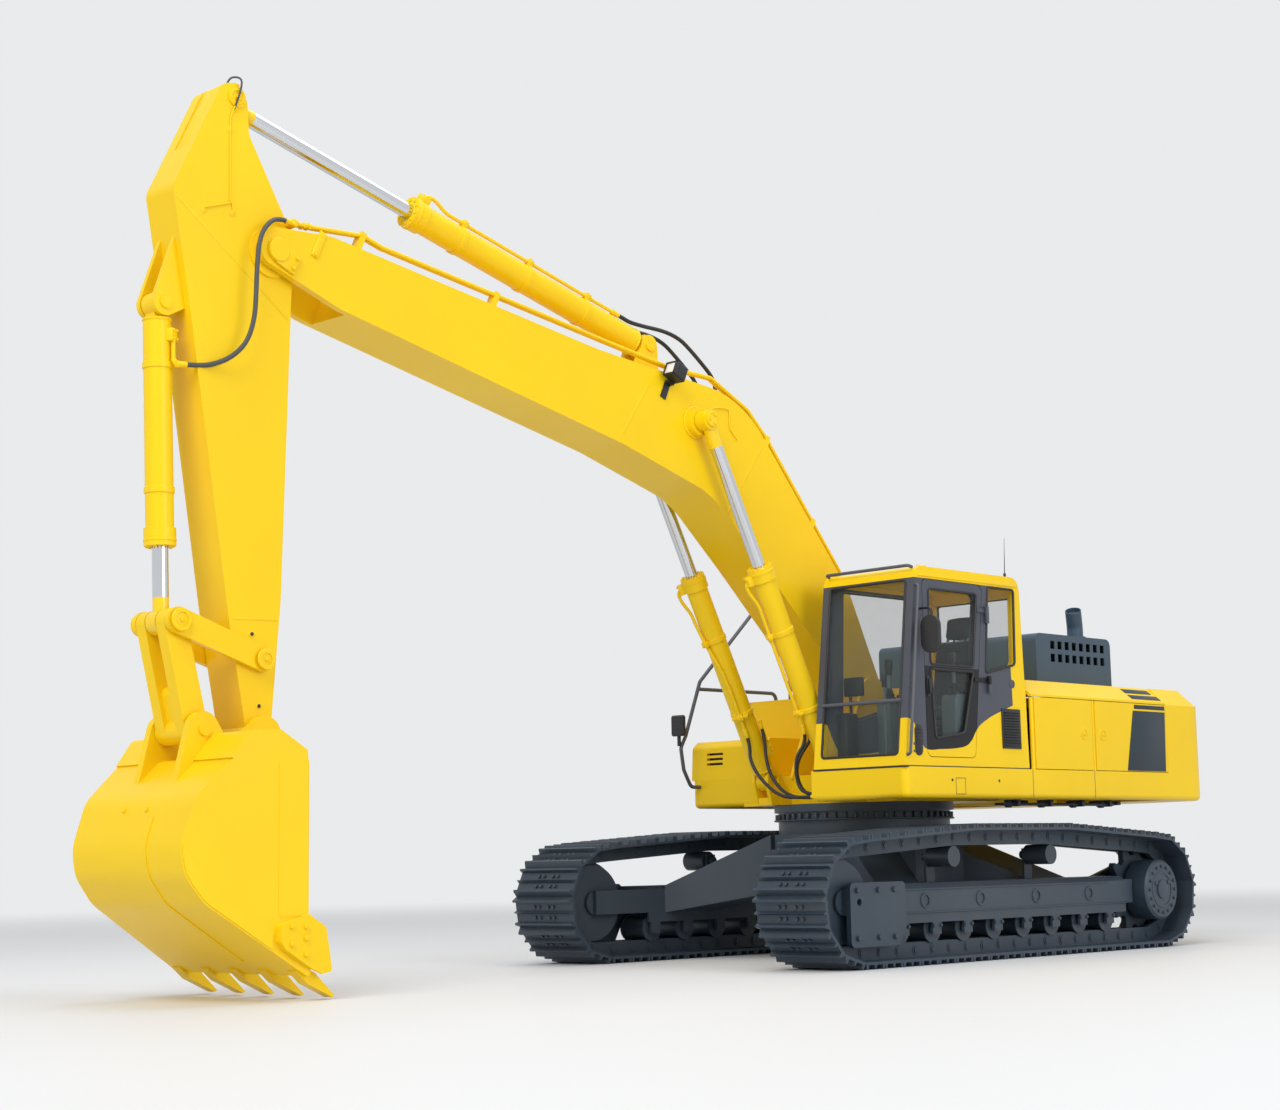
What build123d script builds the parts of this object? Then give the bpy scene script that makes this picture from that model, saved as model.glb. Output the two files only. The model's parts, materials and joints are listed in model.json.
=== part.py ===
from build123d import *
import os
from math import acos, atan2, cos, degrees, hypot, pi, radians, sin

# A crawler excavator on long tracks with a one-piece boom, an arm and a bucket.
# Millimetres: X forward, Y left, Z up, origin on the ground under the swing centre.

# Clearances
RUN_GAP = 0.4  # between parts that turn or slide on each other
SIDE_GAP = 5.0  # beside moving parts
SEAM = 6.0  # round doors and lids

# Tracks
GAUGE = 2740.0
SHOE_WIDTH = 700.0
TUMBLER_DISTANCE = 4350.0
SHOE_COUNT = 49
PITCH_RADIUS = 398.0
GROUSER_REACH = 112.0  # pitch line to grouser tip
SHOE_FACE = 76.0  # pitch line to the outer face of a shoe plate
SHOE_BACK = 55.0  # pitch line to the back of a shoe plate
SHOE_SPLIT = 62.0  # pitch line to the bottom of the gap between shoes
GROUSER_TIP = 16.0
GROUSER_ROOT = 24.0
SHOE_END = 8.0  # from a chain joint to the shoe's edge
RAIL_DEPTH = 62.0  # pitch line to the rail that the rollers run on
RAIL_INNER = 75.0
RAIL_OUTER = 120.0
CARRIER_RISE = 90.0
CARRIER_SPACING = 1400.0
AXLE_HEIGHT = PITCH_RADIUS + GROUSER_REACH

# Track frames and what runs in them
FRAME_HALF = 190.0
FRAME_TOP = 640.0
FRAME_BOTTOM = 326.0
FRAME_FLOOR = 405.0
FRAME_FRONT = 1560.0
CHEEK_REAR = -1850.0
FRAME_WALL = 20.0
FORK_THICKNESS = 40.0
FORK_REACH = 25.0  # fork end past the idler's centre
FORK_HALF_HEIGHT = 100.0
GUARD_THICKNESS = 45.0
GUARD_BOTTOM = 165.0
GUARD_LENGTH = 690.0
TIE_HOLE_RADIUS = 28.0
TIE_HOLE_BACK = 84.0  # hole centre behind the idler's centre
ROLLER_COUNT = 8
ROLLER_SPAN = 2950.0
ROLLER_RADIUS = 98.0
ROLLER_FLANGE = 113.0
ROLLER_SHAFT = 35.0
CARRIER_RADIUS = 85.0
TOOTH_COUNT = 11
TOOTH_REACH = 18.0  # past the pitch line
TOOTH_HALF_WIDTH = 28.0
DRIVE_RADIUS = 230.0
COVER_RADIUS = 267.0
COVER_FACE = 300.0  # cover's outer face from the track's middle plane

# Car body and swing ring
CAR_HALF = 820.0
CAR_BOTTOM = 560.0
CAR_TOP = 1060.0
CAR_WALL = 30.0
RING_BASE = 1180.0
RING_SPLIT = 1255.0
RING_RADIUS = 760.0
RING_COLLAR = 795.0
RING_BORE = 600.0

# Revolving frame
DECK_BOTTOM = 1320.0
DECK_TOP = 1575.0
DECK_HALF_WIDTH = 1490.0
DECK_FRONT_LEFT = 1300.0
DECK_FRONT_RIGHT = 640.0
DECK_PLATE = 20.0
SKIRT = 60.0
DECK_CORNER = 64.0
DECK_EDGE = 45.0  # rounding along the bottom
BRACKET_INNER = 256.0
BRACKET_THICKNESS = 30.0
CAB_SIDE = 495.0  # deck beside the boom starts here

# Counterweight and covers
TAIL_RADIUS = 3645.0
COUNTERWEIGHT_DEPTH = 965.0
SEAM_COUNTERWEIGHT = COUNTERWEIGHT_DEPTH - TAIL_RADIUS
COVER_TOP = 2370.0
SHOULDER_LOW = 2208.0
SHOULDER_INNER = DECK_HALF_WIDTH - 190.0
COVER_PLATE = 20.0
BULKHEAD = -490.0
DOOR_SPLIT = -1435.0
DOOR_THICKNESS = 40.0
HINGE_RADIUS = 18.0
HOOD_TOP = 2860.0
VENT_COLUMNS = 8
HOOD_FRONT = -1360.0
HOOD_REAR = SEAM_COUNTERWEIGHT + 60.0
HOOD_LEFT = DECK_HALF_WIDTH - 530.0
HOOD_RIGHT = 630.0 - DECK_HALF_WIDTH
EXHAUST_X = HOOD_REAR + 370.0
EXHAUST_Y = HOOD_LEFT - 140.0
EXHAUST_RADIUS = 75.0
EXHAUST_TOP = 3120.0
ENGINE_WIDTH = 1300.0
ENGINE_HEIGHT = 620.0
ENGINE_GAP = 120.0  # to the tanks and the counterweight

# Tanks and tool box, on the right
TANK_TOP = 2320.0
TANK_WALL = 12.0
TANK_INNER = -505.0
TANK_SPLIT = -785.0
TANK_FRONT = -110.0
TOOLBOX_TOP = 1930.0
TOOLBOX_INNER = -600.0
RAIL_Y = 100.0 - DECK_HALF_WIDTH
RAIL_TUBE = 17.0
RAIL_HIGH = 3214.0
MIRROR_X = 1040.0
MIRROR_Z = 2650.0
MIRROR_OUT = 130.0
MIRROR_RISE = 220.0
MIRROR_HEIGHT = 310.0
MIRROR_WIDTH = 180.0
MIRROR_THICKNESS = 40.0
MIRROR_TUBE = 10.0

# Cab
CAB_RIGHT = CAB_SIDE + 25.0
CAB_LEFT = DECK_HALF_WIDTH - 10.0
CAB_TOP = 3230.0
CAB_FRONT = 1297.0
CAB_FRONT_TOP = 1080.0
CAB_REAR = -450.0
CAB_REAR_TOP = -395.0
CAB_WALL = 60.0
GLASS = 8.0
DOOR_FRONT = 985.0
DOOR_REAR_LOW = 330.0
DOOR_REAR_TOP = 150.0
DOOR_TOP = 3125.0
DOOR_BOTTOM = 1660.0

# Boom
BOOM_FOOT = (160.0, 2260.0)
BOOM_LENGTH = 7060.0
BOOM_ANGLE = 24.0
BOOM_BEND = 2480.0  # foot pin to the bend
BOOM_FLAT = 1620.0  # bend to the next knee of the top edge
BOOM_HALF = 250.0
BOOM_SIDE = 16.0
BOOM_FLANGE = 22.0
FORK_INNER = 190.0
FORK_DEPTH = 720.0  # opening of the boom tip behind the pin
FOOT_BOSS = 190.0
FOOT_PIN = 60.0
TIP_PIN = 55.0
LAMP = (3320.0, 1240.0)
PIPE_RADIUS = 15.0
PIPE_PITCH = 36.0
PIPE_Y = 228.0  # outer pipe from the middle plane
CLAMP_EDGE = 5.0
CLAMP_HEIGHT = 260.0  # sunk into the boom before it is trimmed
BOOM_LIFT_PIN = (2908.0, 1097.0)
ARM_FOOT_PIN = (3497.0, 1518.0)

# Arm
ARM_LENGTH = 3380.0
ARM_ANGLE = -88.5
ARM_HALF = 165.0
ARM_SIDE = 16.0
ARM_FLANGE = 20.0
ARM_BOSS_HALF = 184.0
ARM_ROD_PIN = (-1052.0, 322.0)
BUCKET_FOOT_PIN = (498.0, 805.0)
SIDE_LINK_PIN = (ARM_LENGTH - 514.0, 4.0)
SLOT_END = -640.0  # bottom of the slot for the arm rod
LUG_INNER = 66.0
LUG_THICKNESS = 40.0

# Bucket and its linkage
BUCKET_HALF = 745.0  # half width at the mouth
BUCKET_DEPTH = 950.0
BUCKET_BACK_HALF = 630.0  # half width where the sides taper in at the back
BUCKET_PLATE = 30.0
BUCKET_LINK_PIN = (497.0, 26.0)
SIDE_LINK = 719.0
BUCKET_LINK = 738.0
EAR_INNER = 190.0
EAR_THICKNESS = 60.0
LINK_PIN = 45.0
TOOTH_SPREAD = 1320.0
TOOTH_HALF = 48.0
LIP = (10.0, -1585.0)  # edge that the teeth stand on, from the bucket pin
FLOOR_ANGLE = -147.0
BUCKET_TEETH = 5

# Cylinders: retracted length as a share of the length at rest, then radii, eye width and pin radius
BOOM_CYLINDER_Y = 385.0
BOOM_CYLINDER_FOOT = (860.0, 1530.0)
BOOM_CYLINDER = dict(closed=0.668, bore=80, rod=55, barrel=93, gland=108, eye=86, width=108, pin=50)
ARM_CYLINDER = dict(closed=0.649, bore=92, rod=60, barrel=110, gland=124, eye=98, width=120, pin=50)
BUCKET_CYLINDER = dict(closed=0.87, bore=80, rod=55, barrel=95, gland=108, eye=86, width=112, pin=45)
ROD_HEAD = 230.0  # rod pin to gland face when retracted
PISTON_BACK = 200.0  # foot pin to the piston's back when retracted

SIDE = Plane.XZ


def block(x0, x1, y0, y1, z0, z1):
    """Box between two corners."""
    return Pos((x0 + x1) / 2, (y0 + y1) / 2, (z0 + z1) / 2) * Box(abs(x1 - x0), abs(y1 - y0), abs(z1 - z0))


def outline(*corners):
    """Flat face from corners (x, y) or (x, y, radius)."""
    points = [corner[:2] for corner in corners]
    radii = [corner[2] if len(corner) > 2 else 0 for corner in corners]
    if not any(radii):
        return make_face(Polyline(*points, close=True))
    return make_face(FilletPolyline(*points, radius=radii, close=True))


def disc(centre, radius):
    """Flat round face."""
    return Pos(*centre) * Circle(radius)


def rib(*faces):
    """Flat face stretched round several faces."""
    return make_hull([edge for face in faces for edge in face.edges()])


def slab(face, y0, y1, plane=SIDE):
    """Plate of a side-view face between two distances to the left."""
    return Pos(0, (y0 + y1) / 2, 0) * extrude(plane * face, amount=(y1 - y0) / 2, both=True)


def twin(shape):
    """A shape and its mirror image on the other side of the machine."""
    return shape + mirror(shape, about=Plane.XZ)


def pair(shape):
    """A shape and its mirror image as separate solids."""
    return Compound(children=[*shape.solids(), *mirror(shape, about=Plane.XZ).solids()])


def group(*shapes):
    """Separate solids in one piece list."""
    return Compound(children=[solid for shape in shapes for solid in shape.solids()])


def side_plane(origin, angle):
    """Upright plane along the machine, its x leaning up from forward by an angle in degrees."""
    turn = radians(angle)
    return Plane(origin=(origin[0], 0, origin[1]), x_dir=(cos(turn), 0, sin(turn)), z_dir=(0, -1, 0))


def place(origin, angle, point):
    """Side-view point of a leaning frame, in the machine's frame."""
    turn = radians(angle)
    along, up = point
    return (origin[0] + along * cos(turn) - up * sin(turn), origin[1] + along * sin(turn) + up * cos(turn))


# Pin centres in side view
BOOM_TIP = place(BOOM_FOOT, BOOM_ANGLE, (BOOM_LENGTH, 0))
LIFT_PIN = place(BOOM_FOOT, BOOM_ANGLE, BOOM_LIFT_PIN)
ARM_CYLINDER_FOOT = place(BOOM_FOOT, BOOM_ANGLE, ARM_FOOT_PIN)
ARM_CYLINDER_HEAD = place(BOOM_TIP, ARM_ANGLE, ARM_ROD_PIN)
BUCKET_CYLINDER_FOOT = place(BOOM_TIP, ARM_ANGLE, BUCKET_FOOT_PIN)
SIDE_LINK_FOOT = place(BOOM_TIP, ARM_ANGLE, SIDE_LINK_PIN)
BUCKET_PIN = place(BOOM_TIP, ARM_ANGLE, (ARM_LENGTH, 0))
LINK_FOOT = (BUCKET_PIN[0] + BUCKET_LINK_PIN[0], BUCKET_PIN[1] + BUCKET_LINK_PIN[1])


def crossing(first, first_radius, second, second_radius):
    """Forward crossing of two circles in side view."""
    dx, dz = second[0] - first[0], second[1] - first[1]
    gap = hypot(dx, dz)
    along = (gap**2 + first_radius**2 - second_radius**2) / (2 * gap)
    off = (first_radius**2 - along**2) ** 0.5
    foot = (first[0] + along * dx / gap, first[1] + along * dz / gap)
    return max((foot[0] - s * off * dz / gap, foot[1] + s * off * dx / gap) for s in (1, -1))


LINK_HEAD = crossing(SIDE_LINK_FOOT, SIDE_LINK, LINK_FOOT, BUCKET_LINK)

BOOM_PLANE = side_plane(BOOM_FOOT, BOOM_ANGLE)
ARM_PLANE = side_plane(BOOM_TIP, ARM_ANGLE)
BUCKET_PLANE = side_plane(BUCKET_PIN, 0)


# Tracks

def pitch_line():
    """Runs of the chain's pitch line: straight from point to point, or an arc (centre, start, end)."""
    front, low = TUMBLER_DISTANCE / 2, AXLE_HEIGHT - PITCH_RADIUS
    carrier, high = CARRIER_SPACING / 2, AXLE_HEIGHT + PITCH_RADIUS + CARRIER_RISE
    rise, run = high - AXLE_HEIGHT, front - carrier
    leave = pi - atan2(rise, run) - acos(PITCH_RADIUS / hypot(rise, run))
    start = (front + PITCH_RADIUS * cos(leave), AXLE_HEIGHT + PITCH_RADIUS * sin(leave))
    return [
        ((-front, low), (front, low)),
        ((front, AXLE_HEIGHT), -pi / 2, leave),
        (start, (carrier, high)),
        ((carrier, high), (-carrier, high)),
        ((-carrier, high), (-start[0], start[1])),
        ((-front, AXLE_HEIGHT), pi - leave, 3 * pi / 2),
    ]


def run_length(run):
    """Length of one run of the pitch line."""
    if len(run) == 2:
        return hypot(run[1][0] - run[0][0], run[1][1] - run[0][1])
    return PITCH_RADIUS * (run[2] - run[1])


def run_point(run, distance):
    """Point on one run of the pitch line."""
    share = distance / run_length(run)
    if len(run) == 2:
        return tuple(a + (b - a) * share for a, b in zip(*run))
    angle = run[1] + (run[2] - run[1]) * share
    return (run[0][0] + PITCH_RADIUS * cos(angle), run[0][1] + PITCH_RADIUS * sin(angle))


def chain_joints():
    """Evenly spaced chain joints round the pitch line."""
    runs = pitch_line()
    step = sum(run_length(run) for run in runs) / SHOE_COUNT
    joints, behind = [], 0.0
    for run in runs:
        while len(joints) < SHOE_COUNT and len(joints) * step < behind + run_length(run):
            joints.append(run_point(run, len(joints) * step - behind))
        behind += run_length(run)
    return joints


def unit(first, second):
    """Direction between two points."""
    dx, dz = second[0] - first[0], second[1] - first[1]
    size = hypot(dx, dz)
    return dx / size, dz / size


JOINTS = chain_joints()


def joint_offset(index, offset):
    """Point beside a chain joint, outwards from the loop."""
    before, here, after = JOINTS[index - 1], JOINTS[index], JOINTS[(index + 1) % SHOE_COUNT]
    dx, dz = unit(before, after)
    return here[0] + offset * dz, here[1] - offset * dx


def clear_radius(x):
    """Largest radius about a tumbler's centre that stays inside the chain's rails."""
    spans = []
    for index in range(SHOE_COUNT):
        first, second = joint_offset(index - 1, -RAIL_DEPTH), joint_offset(index, -RAIL_DEPTH)
        dx, dz = unit(first, second)
        along = (x - first[0]) * dx + (AXLE_HEIGHT - first[1]) * dz
        along = min(max(along, 0), hypot(second[0] - first[0], second[1] - first[1]))
        spans.append(hypot(first[0] + along * dx - x, first[1] + along * dz - AXLE_HEIGHT))
    return min(spans)


def shoe_points(index):
    """Outer outline of one triple-grouser shoe, from the gap before it."""
    first, second = JOINTS[index], JOINTS[(index + 1) % SHOE_COUNT]
    dx, dz = unit(first, second)
    middle = ((first[0] + second[0]) / 2, (first[1] + second[1]) / 2)
    edge = hypot(second[0] - first[0], second[1] - first[1]) / 2 - SHOE_END
    half_profile = [(edge, GROUSER_REACH), (edge - GROUSER_TIP, GROUSER_REACH), (edge - GROUSER_ROOT, SHOE_FACE)]
    ridge = [(-GROUSER_TIP, SHOE_FACE), (0, GROUSER_REACH), (GROUSER_TIP, SHOE_FACE)]
    profile = [(-along, out) for along, out in half_profile] + ridge + half_profile[::-1]
    points = [(middle[0] + a * dx + o * dz, middle[1] + a * dz - o * dx) for a, o in profile]
    return [joint_offset(index, SHOE_SPLIT), *points]


def loop(offset):
    """Loop through the chain joints, moved outwards."""
    return outline(*[joint_offset(index, offset) for index in range(SHOE_COUNT)])


def track():
    """Left track: shoes with grousers and the two rails of the chain."""
    middle = GAUGE / 2
    shoes = outline(*[point for index in range(SHOE_COUNT) for point in shoe_points(index)])
    back = loop(SHOE_BACK)
    belt = slab(shoes - back, middle - SHOE_WIDTH / 2, middle + SHOE_WIDTH / 2)
    rail = back - loop(-RAIL_DEPTH)
    outer = slab(rail, middle + RAIL_INNER, middle + RAIL_OUTER)
    inner = slab(rail, middle - RAIL_OUTER, middle - RAIL_INNER)
    return belt + outer + inner


# Track frames, wheels and rollers

def turned(profile, x, z, y):
    """Body of revolution about an axle: profile of (distance from the middle plane, radius)."""
    face = outline(*profile)
    return Pos(x, y, z) * Rot(0, 0, 90) * revolve(face, Axis.X)


def stepped(*steps):
    """Stepped shaft profile from (start, end, radius) steps, left to right."""
    points = [(steps[0][0], 0)]
    for start, end, radius in steps:
        points += [(start, radius), (end, radius)]
    return [*points, (steps[-1][1], 0)]


IDLER_X = TUMBLER_DISTANCE / 2
SPROCKET_X = -TUMBLER_DISTANCE / 2
MIDDLE = GAUGE / 2
RAIL_TOP = AXLE_HEIGHT - PITCH_RADIUS + RAIL_DEPTH
ROLLER_Z = RAIL_TOP + ROLLER_RADIUS + RUN_GAP
TREAD = min(clear_radius(IDLER_X), clear_radius(SPROCKET_X)) - RUN_GAP
TOOTH_TIP = PITCH_RADIUS + TOOTH_REACH
FRAME_REAR = SPROCKET_X + TOOTH_TIP + 5 * SIDE_GAP
FLANGE_START = RAIL_OUTER + SIDE_GAP


def track_frame():
    """Left track frame: hollow beam with roller channel, idler fork and final-drive plate."""
    inner, outer = MIDDLE - FRAME_HALF, MIDDLE + FRAME_HALF
    beam = block(FRAME_REAR, FRAME_FRONT, inner, outer, FRAME_BOTTOM, FRAME_TOP)
    beam = chamfer(beam.edges().filter_by(Axis.X).group_by(Axis.Z)[-1], 2 * FRAME_WALL)
    room = block(
        FRAME_REAR + FRAME_WALL, FRAME_FRONT - FRAME_WALL, inner + FRAME_WALL, outer - FRAME_WALL,
        FRAME_FLOOR + FRAME_WALL, FRAME_TOP - 2 * FRAME_WALL,
    )
    channel = block(FRAME_REAR, FRAME_FRONT, inner + FRAME_WALL, outer - FRAME_WALL, FRAME_BOTTOM, FRAME_FLOOR)
    beam = beam - room - channel
    z0, z1 = AXLE_HEIGHT - FORK_HALF_HEIGHT, AXLE_HEIGHT + FORK_HALF_HEIGHT
    fork_end = IDLER_X + FORK_REACH
    for y0 in (inner, outer - FORK_THICKNESS):
        beam += block(FRAME_FRONT - FRAME_WALL, fork_end, y0, y0 + FORK_THICKNESS, z0, z1)
    beam += block(CHEEK_REAR, FRAME_REAR + FRAME_WALL, outer - FORK_THICKNESS, outer, FRAME_FLOOR, z1)
    hub = disc((SPROCKET_X, AXLE_HEIGHT), DRIVE_RADIUS)
    height = FRAME_TOP - FRAME_FLOOR
    root = Pos(FRAME_REAR + FRAME_WALL, FRAME_FLOOR + height / 2) * Rectangle(FRAME_WALL, height - FRAME_WALL)
    return beam + slab(rib(hub, root), inner, inner + FORK_THICKNESS)


def idler_guard():
    """Left outer guard plate over the idler fork, with its tie-down hole."""
    front = IDLER_X + FORK_REACH
    rear = front - GUARD_LENGTH
    top = FRAME_TOP + FRAME_WALL
    plate = outline(
        (rear, FRAME_BOTTOM), (rear + 2 * GUARD_THICKNESS, GUARD_BOTTOM), (front, GUARD_BOTTOM, GUARD_THICKNESS),
        (front, top, GUARD_THICKNESS), (rear, top, GUARD_THICKNESS),
    )
    hole = disc((IDLER_X - TIE_HOLE_BACK, AXLE_HEIGHT), TIE_HOLE_RADIUS)
    outer = MIDDLE + FRAME_HALF
    return slab(plate - hole, outer, outer + GUARD_THICKNESS)


def idler():
    """Left idler: rim with guide flange between the rails, hub between the fork's arms."""
    hub_half = FRAME_HALF - FORK_THICKNESS
    guide = RAIL_INNER - 3 * SIDE_GAP
    steps = [
        (-hub_half, -RAIL_OUTER, FORK_HALF_HEIGHT), (-RAIL_OUTER, -guide, TREAD),
        (-guide, guide, TREAD + RAIL_DEPTH / 2), (guide, RAIL_OUTER, TREAD),
        (RAIL_OUTER, hub_half, FORK_HALF_HEIGHT),
    ]
    return turned(stepped(*steps), IDLER_X, AXLE_HEIGHT, MIDDLE)


def sprocket():
    """Left sprocket with its final drive and round cover."""
    root = TREAD - SIDE_GAP
    teeth = []
    step = 2 * pi / TOOTH_COUNT
    for index in range(TOOTH_COUNT):
        for share, radius in ((-0.36, root), (-0.1, TOOTH_TIP), (0.1, TOOTH_TIP), (0.36, root)):
            angle = (index + share) * step
            teeth.append((SPROCKET_X + radius * cos(angle), AXLE_HEIGHT + radius * sin(angle)))
    ring = slab(outline(*teeth), MIDDLE - TOOTH_HALF_WIDTH, MIDDLE + TOOTH_HALF_WIDTH)
    drive_back = FORK_THICKNESS - FRAME_HALF
    round_edge = FRAME_WALL
    drive = outline(
        (drive_back, 0), (drive_back, DRIVE_RADIUS), (RAIL_INNER, DRIVE_RADIUS), (RAIL_INNER, COVER_RADIUS),
        (COVER_FACE - round_edge, COVER_RADIUS), (COVER_FACE, COVER_RADIUS - round_edge), (COVER_FACE, 0),
    )
    drive = Pos(SPROCKET_X, MIDDLE, AXLE_HEIGHT) * Rot(0, 0, 90) * revolve(drive, Axis.X)
    return ring + drive


def track_roller(x):
    """One left track roller on its shaft, with the collars that bolt under the frame."""
    flange_end = FLANGE_START + 3 * SIDE_GAP
    collar_half = FRAME_HALF - FRAME_WALL - SIDE_GAP
    steps = [
        (-FRAME_HALF, -flange_end, ROLLER_SHAFT), (-flange_end, -FLANGE_START, ROLLER_FLANGE),
        (-FLANGE_START, FLANGE_START, ROLLER_RADIUS), (FLANGE_START, flange_end, ROLLER_FLANGE),
        (flange_end, FRAME_HALF, ROLLER_SHAFT),
    ]
    roller = turned(stepped(*steps), x, ROLLER_Z, MIDDLE)
    for sign in (-1, 1):
        ends = sorted((MIDDLE + sign * collar_half, MIDDLE + sign * FRAME_HALF))
        half = 1.6 * ROLLER_SHAFT
        roller += block(x - half, x + half, *ends, ROLLER_Z - 1.2 * ROLLER_SHAFT, FRAME_BOTTOM)
    return roller


def carrier_roller(x):
    """One left carrier roller under the top run, on a bracket on the frame."""
    centre = AXLE_HEIGHT + PITCH_RADIUS + CARRIER_RISE - RAIL_DEPTH - CARRIER_RADIUS - SIDE_GAP
    steps = [(-FRAME_HALF, -RAIL_OUTER, ROLLER_SHAFT), (-RAIL_OUTER, RAIL_OUTER, CARRIER_RADIUS)]
    roller = turned(stepped(*steps), x, centre, MIDDLE)
    foot = MIDDLE - FRAME_HALF + 2 * FRAME_WALL
    half = 1.6 * ROLLER_SHAFT
    post = block(x - half, x + half, foot, MIDDLE - RAIL_OUTER - SIDE_GAP, FRAME_TOP, centre + half)
    return roller + post


def spread(count, span):
    """Evenly spaced places about the middle."""
    return [span * (index / (count - 1) - 0.5) for index in range(count)]


# Car body and swing ring

def leg(inset):
    """Left front leg of the car body, or the hollow inside it."""
    inner_y, outer_y = CAR_HALF / 2 + inset, MIDDLE - FRAME_HALF - inset
    sides = [
        (inner_y, CAR_BOTTOM + inset), (outer_y, FRAME_FLOOR + inset), (outer_y, FRAME_TOP - inset),
        (inner_y, CAR_TOP - inset)]
    plan = outline(
        (0.26 * CAR_HALF + inset, inner_y), (0.98 * CAR_HALF - inset, inner_y),
        (1.65 * CAR_HALF - inset, outer_y), (0.95 * CAR_HALF + inset, outer_y))
    return section(sides, 0, 2 * CAR_HALF) & extrude(plan, 2 * CAR_TOP)


def car_body():
    """X-shaped middle of the undercarriage: hollow box, four legs and the ring's pedestal."""
    box_plan = RegularPolygon(CAR_HALF / cos(pi / 8), 8, rotation=22.5)
    room_plan = RegularPolygon((CAR_HALF - CAR_WALL) / cos(pi / 8), 8, rotation=22.5)
    height = CAR_TOP - CAR_BOTTOM
    body = Pos(0, 0, CAR_BOTTOM) * extrude(box_plan, height)
    room = Pos(0, 0, CAR_BOTTOM + CAR_WALL) * extrude(room_plan, height - 2 * CAR_WALL)
    for legs, inset in ((True, 0), (False, CAR_WALL)):
        shape = leg(inset)
        four = twin(shape)
        four = four + mirror(four, about=Plane.YZ)
        if legs:
            body = body + four
        else:
            room = room + four
    pedestal = Pos(0, 0, CAR_TOP) * extrude(Circle(RING_RADIUS) - Circle(RING_BORE), RING_BASE - CAR_TOP)
    return body - room + pedestal


def ring(z0, z1, radius):
    """One race of the swing ring."""
    return Pos(0, 0, z0) * extrude(Circle(radius) - Circle(RING_BORE), z1 - z0)


# Revolving frame

def deck_plan(inset):
    """Deck outline from above."""
    side, rear = DECK_HALF_WIDTH - inset, SEAM_COUNTERWEIGHT + inset
    left, right = DECK_FRONT_LEFT - inset, DECK_FRONT_RIGHT - inset
    corner = max(DECK_CORNER - inset, 0)
    return outline(
        (rear, -side), (right, -side, corner), (right, CAB_SIDE + inset), (left, CAB_SIDE + inset),
        (left, side, corner), (rear, side),
    )


def revolving_frame():
    """Deck with its skirt, middle beams, boom brackets and boom-cylinder lugs."""
    height = DECK_TOP - DECK_BOTTOM
    tray = extrude(deck_plan(0), height)
    bottom = tray.faces().sort_by(Axis.Z)[0]
    rim = [edge for edge in bottom.edges() if edge.center().X > SEAM_COUNTERWEIGHT + SKIRT]
    tray = fillet(rim, DECK_EDGE) - extrude(deck_plan(SKIRT), height - DECK_PLATE)
    frame = Pos(0, 0, DECK_BOTTOM) * tray
    edge = RING_COLLAR + 2 * BRACKET_THICKNESS
    frame += block(-edge, DECK_FRONT_RIGHT, -edge, edge, DECK_BOTTOM, DECK_BOTTOM + BRACKET_THICKNESS)
    outer = BRACKET_INNER + BRACKET_THICKNESS
    beam = block(SEAM_COUNTERWEIGHT, DECK_FRONT_RIGHT, BRACKET_INNER, outer, DECK_BOTTOM, DECK_TOP)
    base = Pos(BOOM_FOOT[0] - 60, DECK_TOP - DECK_PLATE) * Rectangle(2 * DECK_FRONT_RIGHT - 160, DECK_PLATE)
    cheek = rib(disc(BOOM_FOOT, FOOT_BOSS - 20), base) - disc(BOOM_FOOT, FOOT_PIN)
    frame += twin(beam + slab(cheek, BRACKET_INNER, outer))
    half = BOOM_CYLINDER["width"] / 2 + SIDE_GAP
    foot = disc(BOOM_CYLINDER_FOOT, BOOM_CYLINDER["eye"] + 10)
    front = BOOM_CYLINDER_FOOT[0] + BOOM_CYLINDER["eye"] / 2
    beam_top = BOOM_CYLINDER_FOOT[1] - BOOM_CYLINDER["eye"] - 12 * SIDE_GAP
    sill = Pos((DECK_FRONT_RIGHT + front) / 2, (DECK_BOTTOM + beam_top) / 2) * Rectangle(
        front - DECK_FRONT_RIGHT, beam_top - DECK_BOTTOM)
    lug = rib(foot, sill) - disc(BOOM_CYLINDER_FOOT, BOOM_CYLINDER["pin"])
    inner = BOOM_CYLINDER_Y - half
    thickness = inner - outer - SIDE_GAP
    far = BOOM_CYLINDER_Y + half
    lugs = slab(lug, outer + SIDE_GAP, inner) + slab(lug, far, far + thickness)
    lugs += slab(sill, outer + SIDE_GAP, far + thickness)
    return frame + twin(lugs)


def frame_pins():
    """Boom foot pin and boom-cylinder foot pins."""
    reach = BRACKET_INNER + BRACKET_THICKNESS
    foot = slab(disc(BOOM_FOOT, FOOT_PIN - RUN_GAP), -reach, reach)
    half = BOOM_CYLINDER["width"] / 2 + SIDE_GAP
    ends = BOOM_CYLINDER_Y - half, BOOM_CYLINDER_Y + half
    lug = half
    pin = slab(disc(BOOM_CYLINDER_FOOT, BOOM_CYLINDER["pin"] - RUN_GAP), ends[0] - lug / 4, ends[1] + lug / 4)
    return group(foot, pair(pin))


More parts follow.
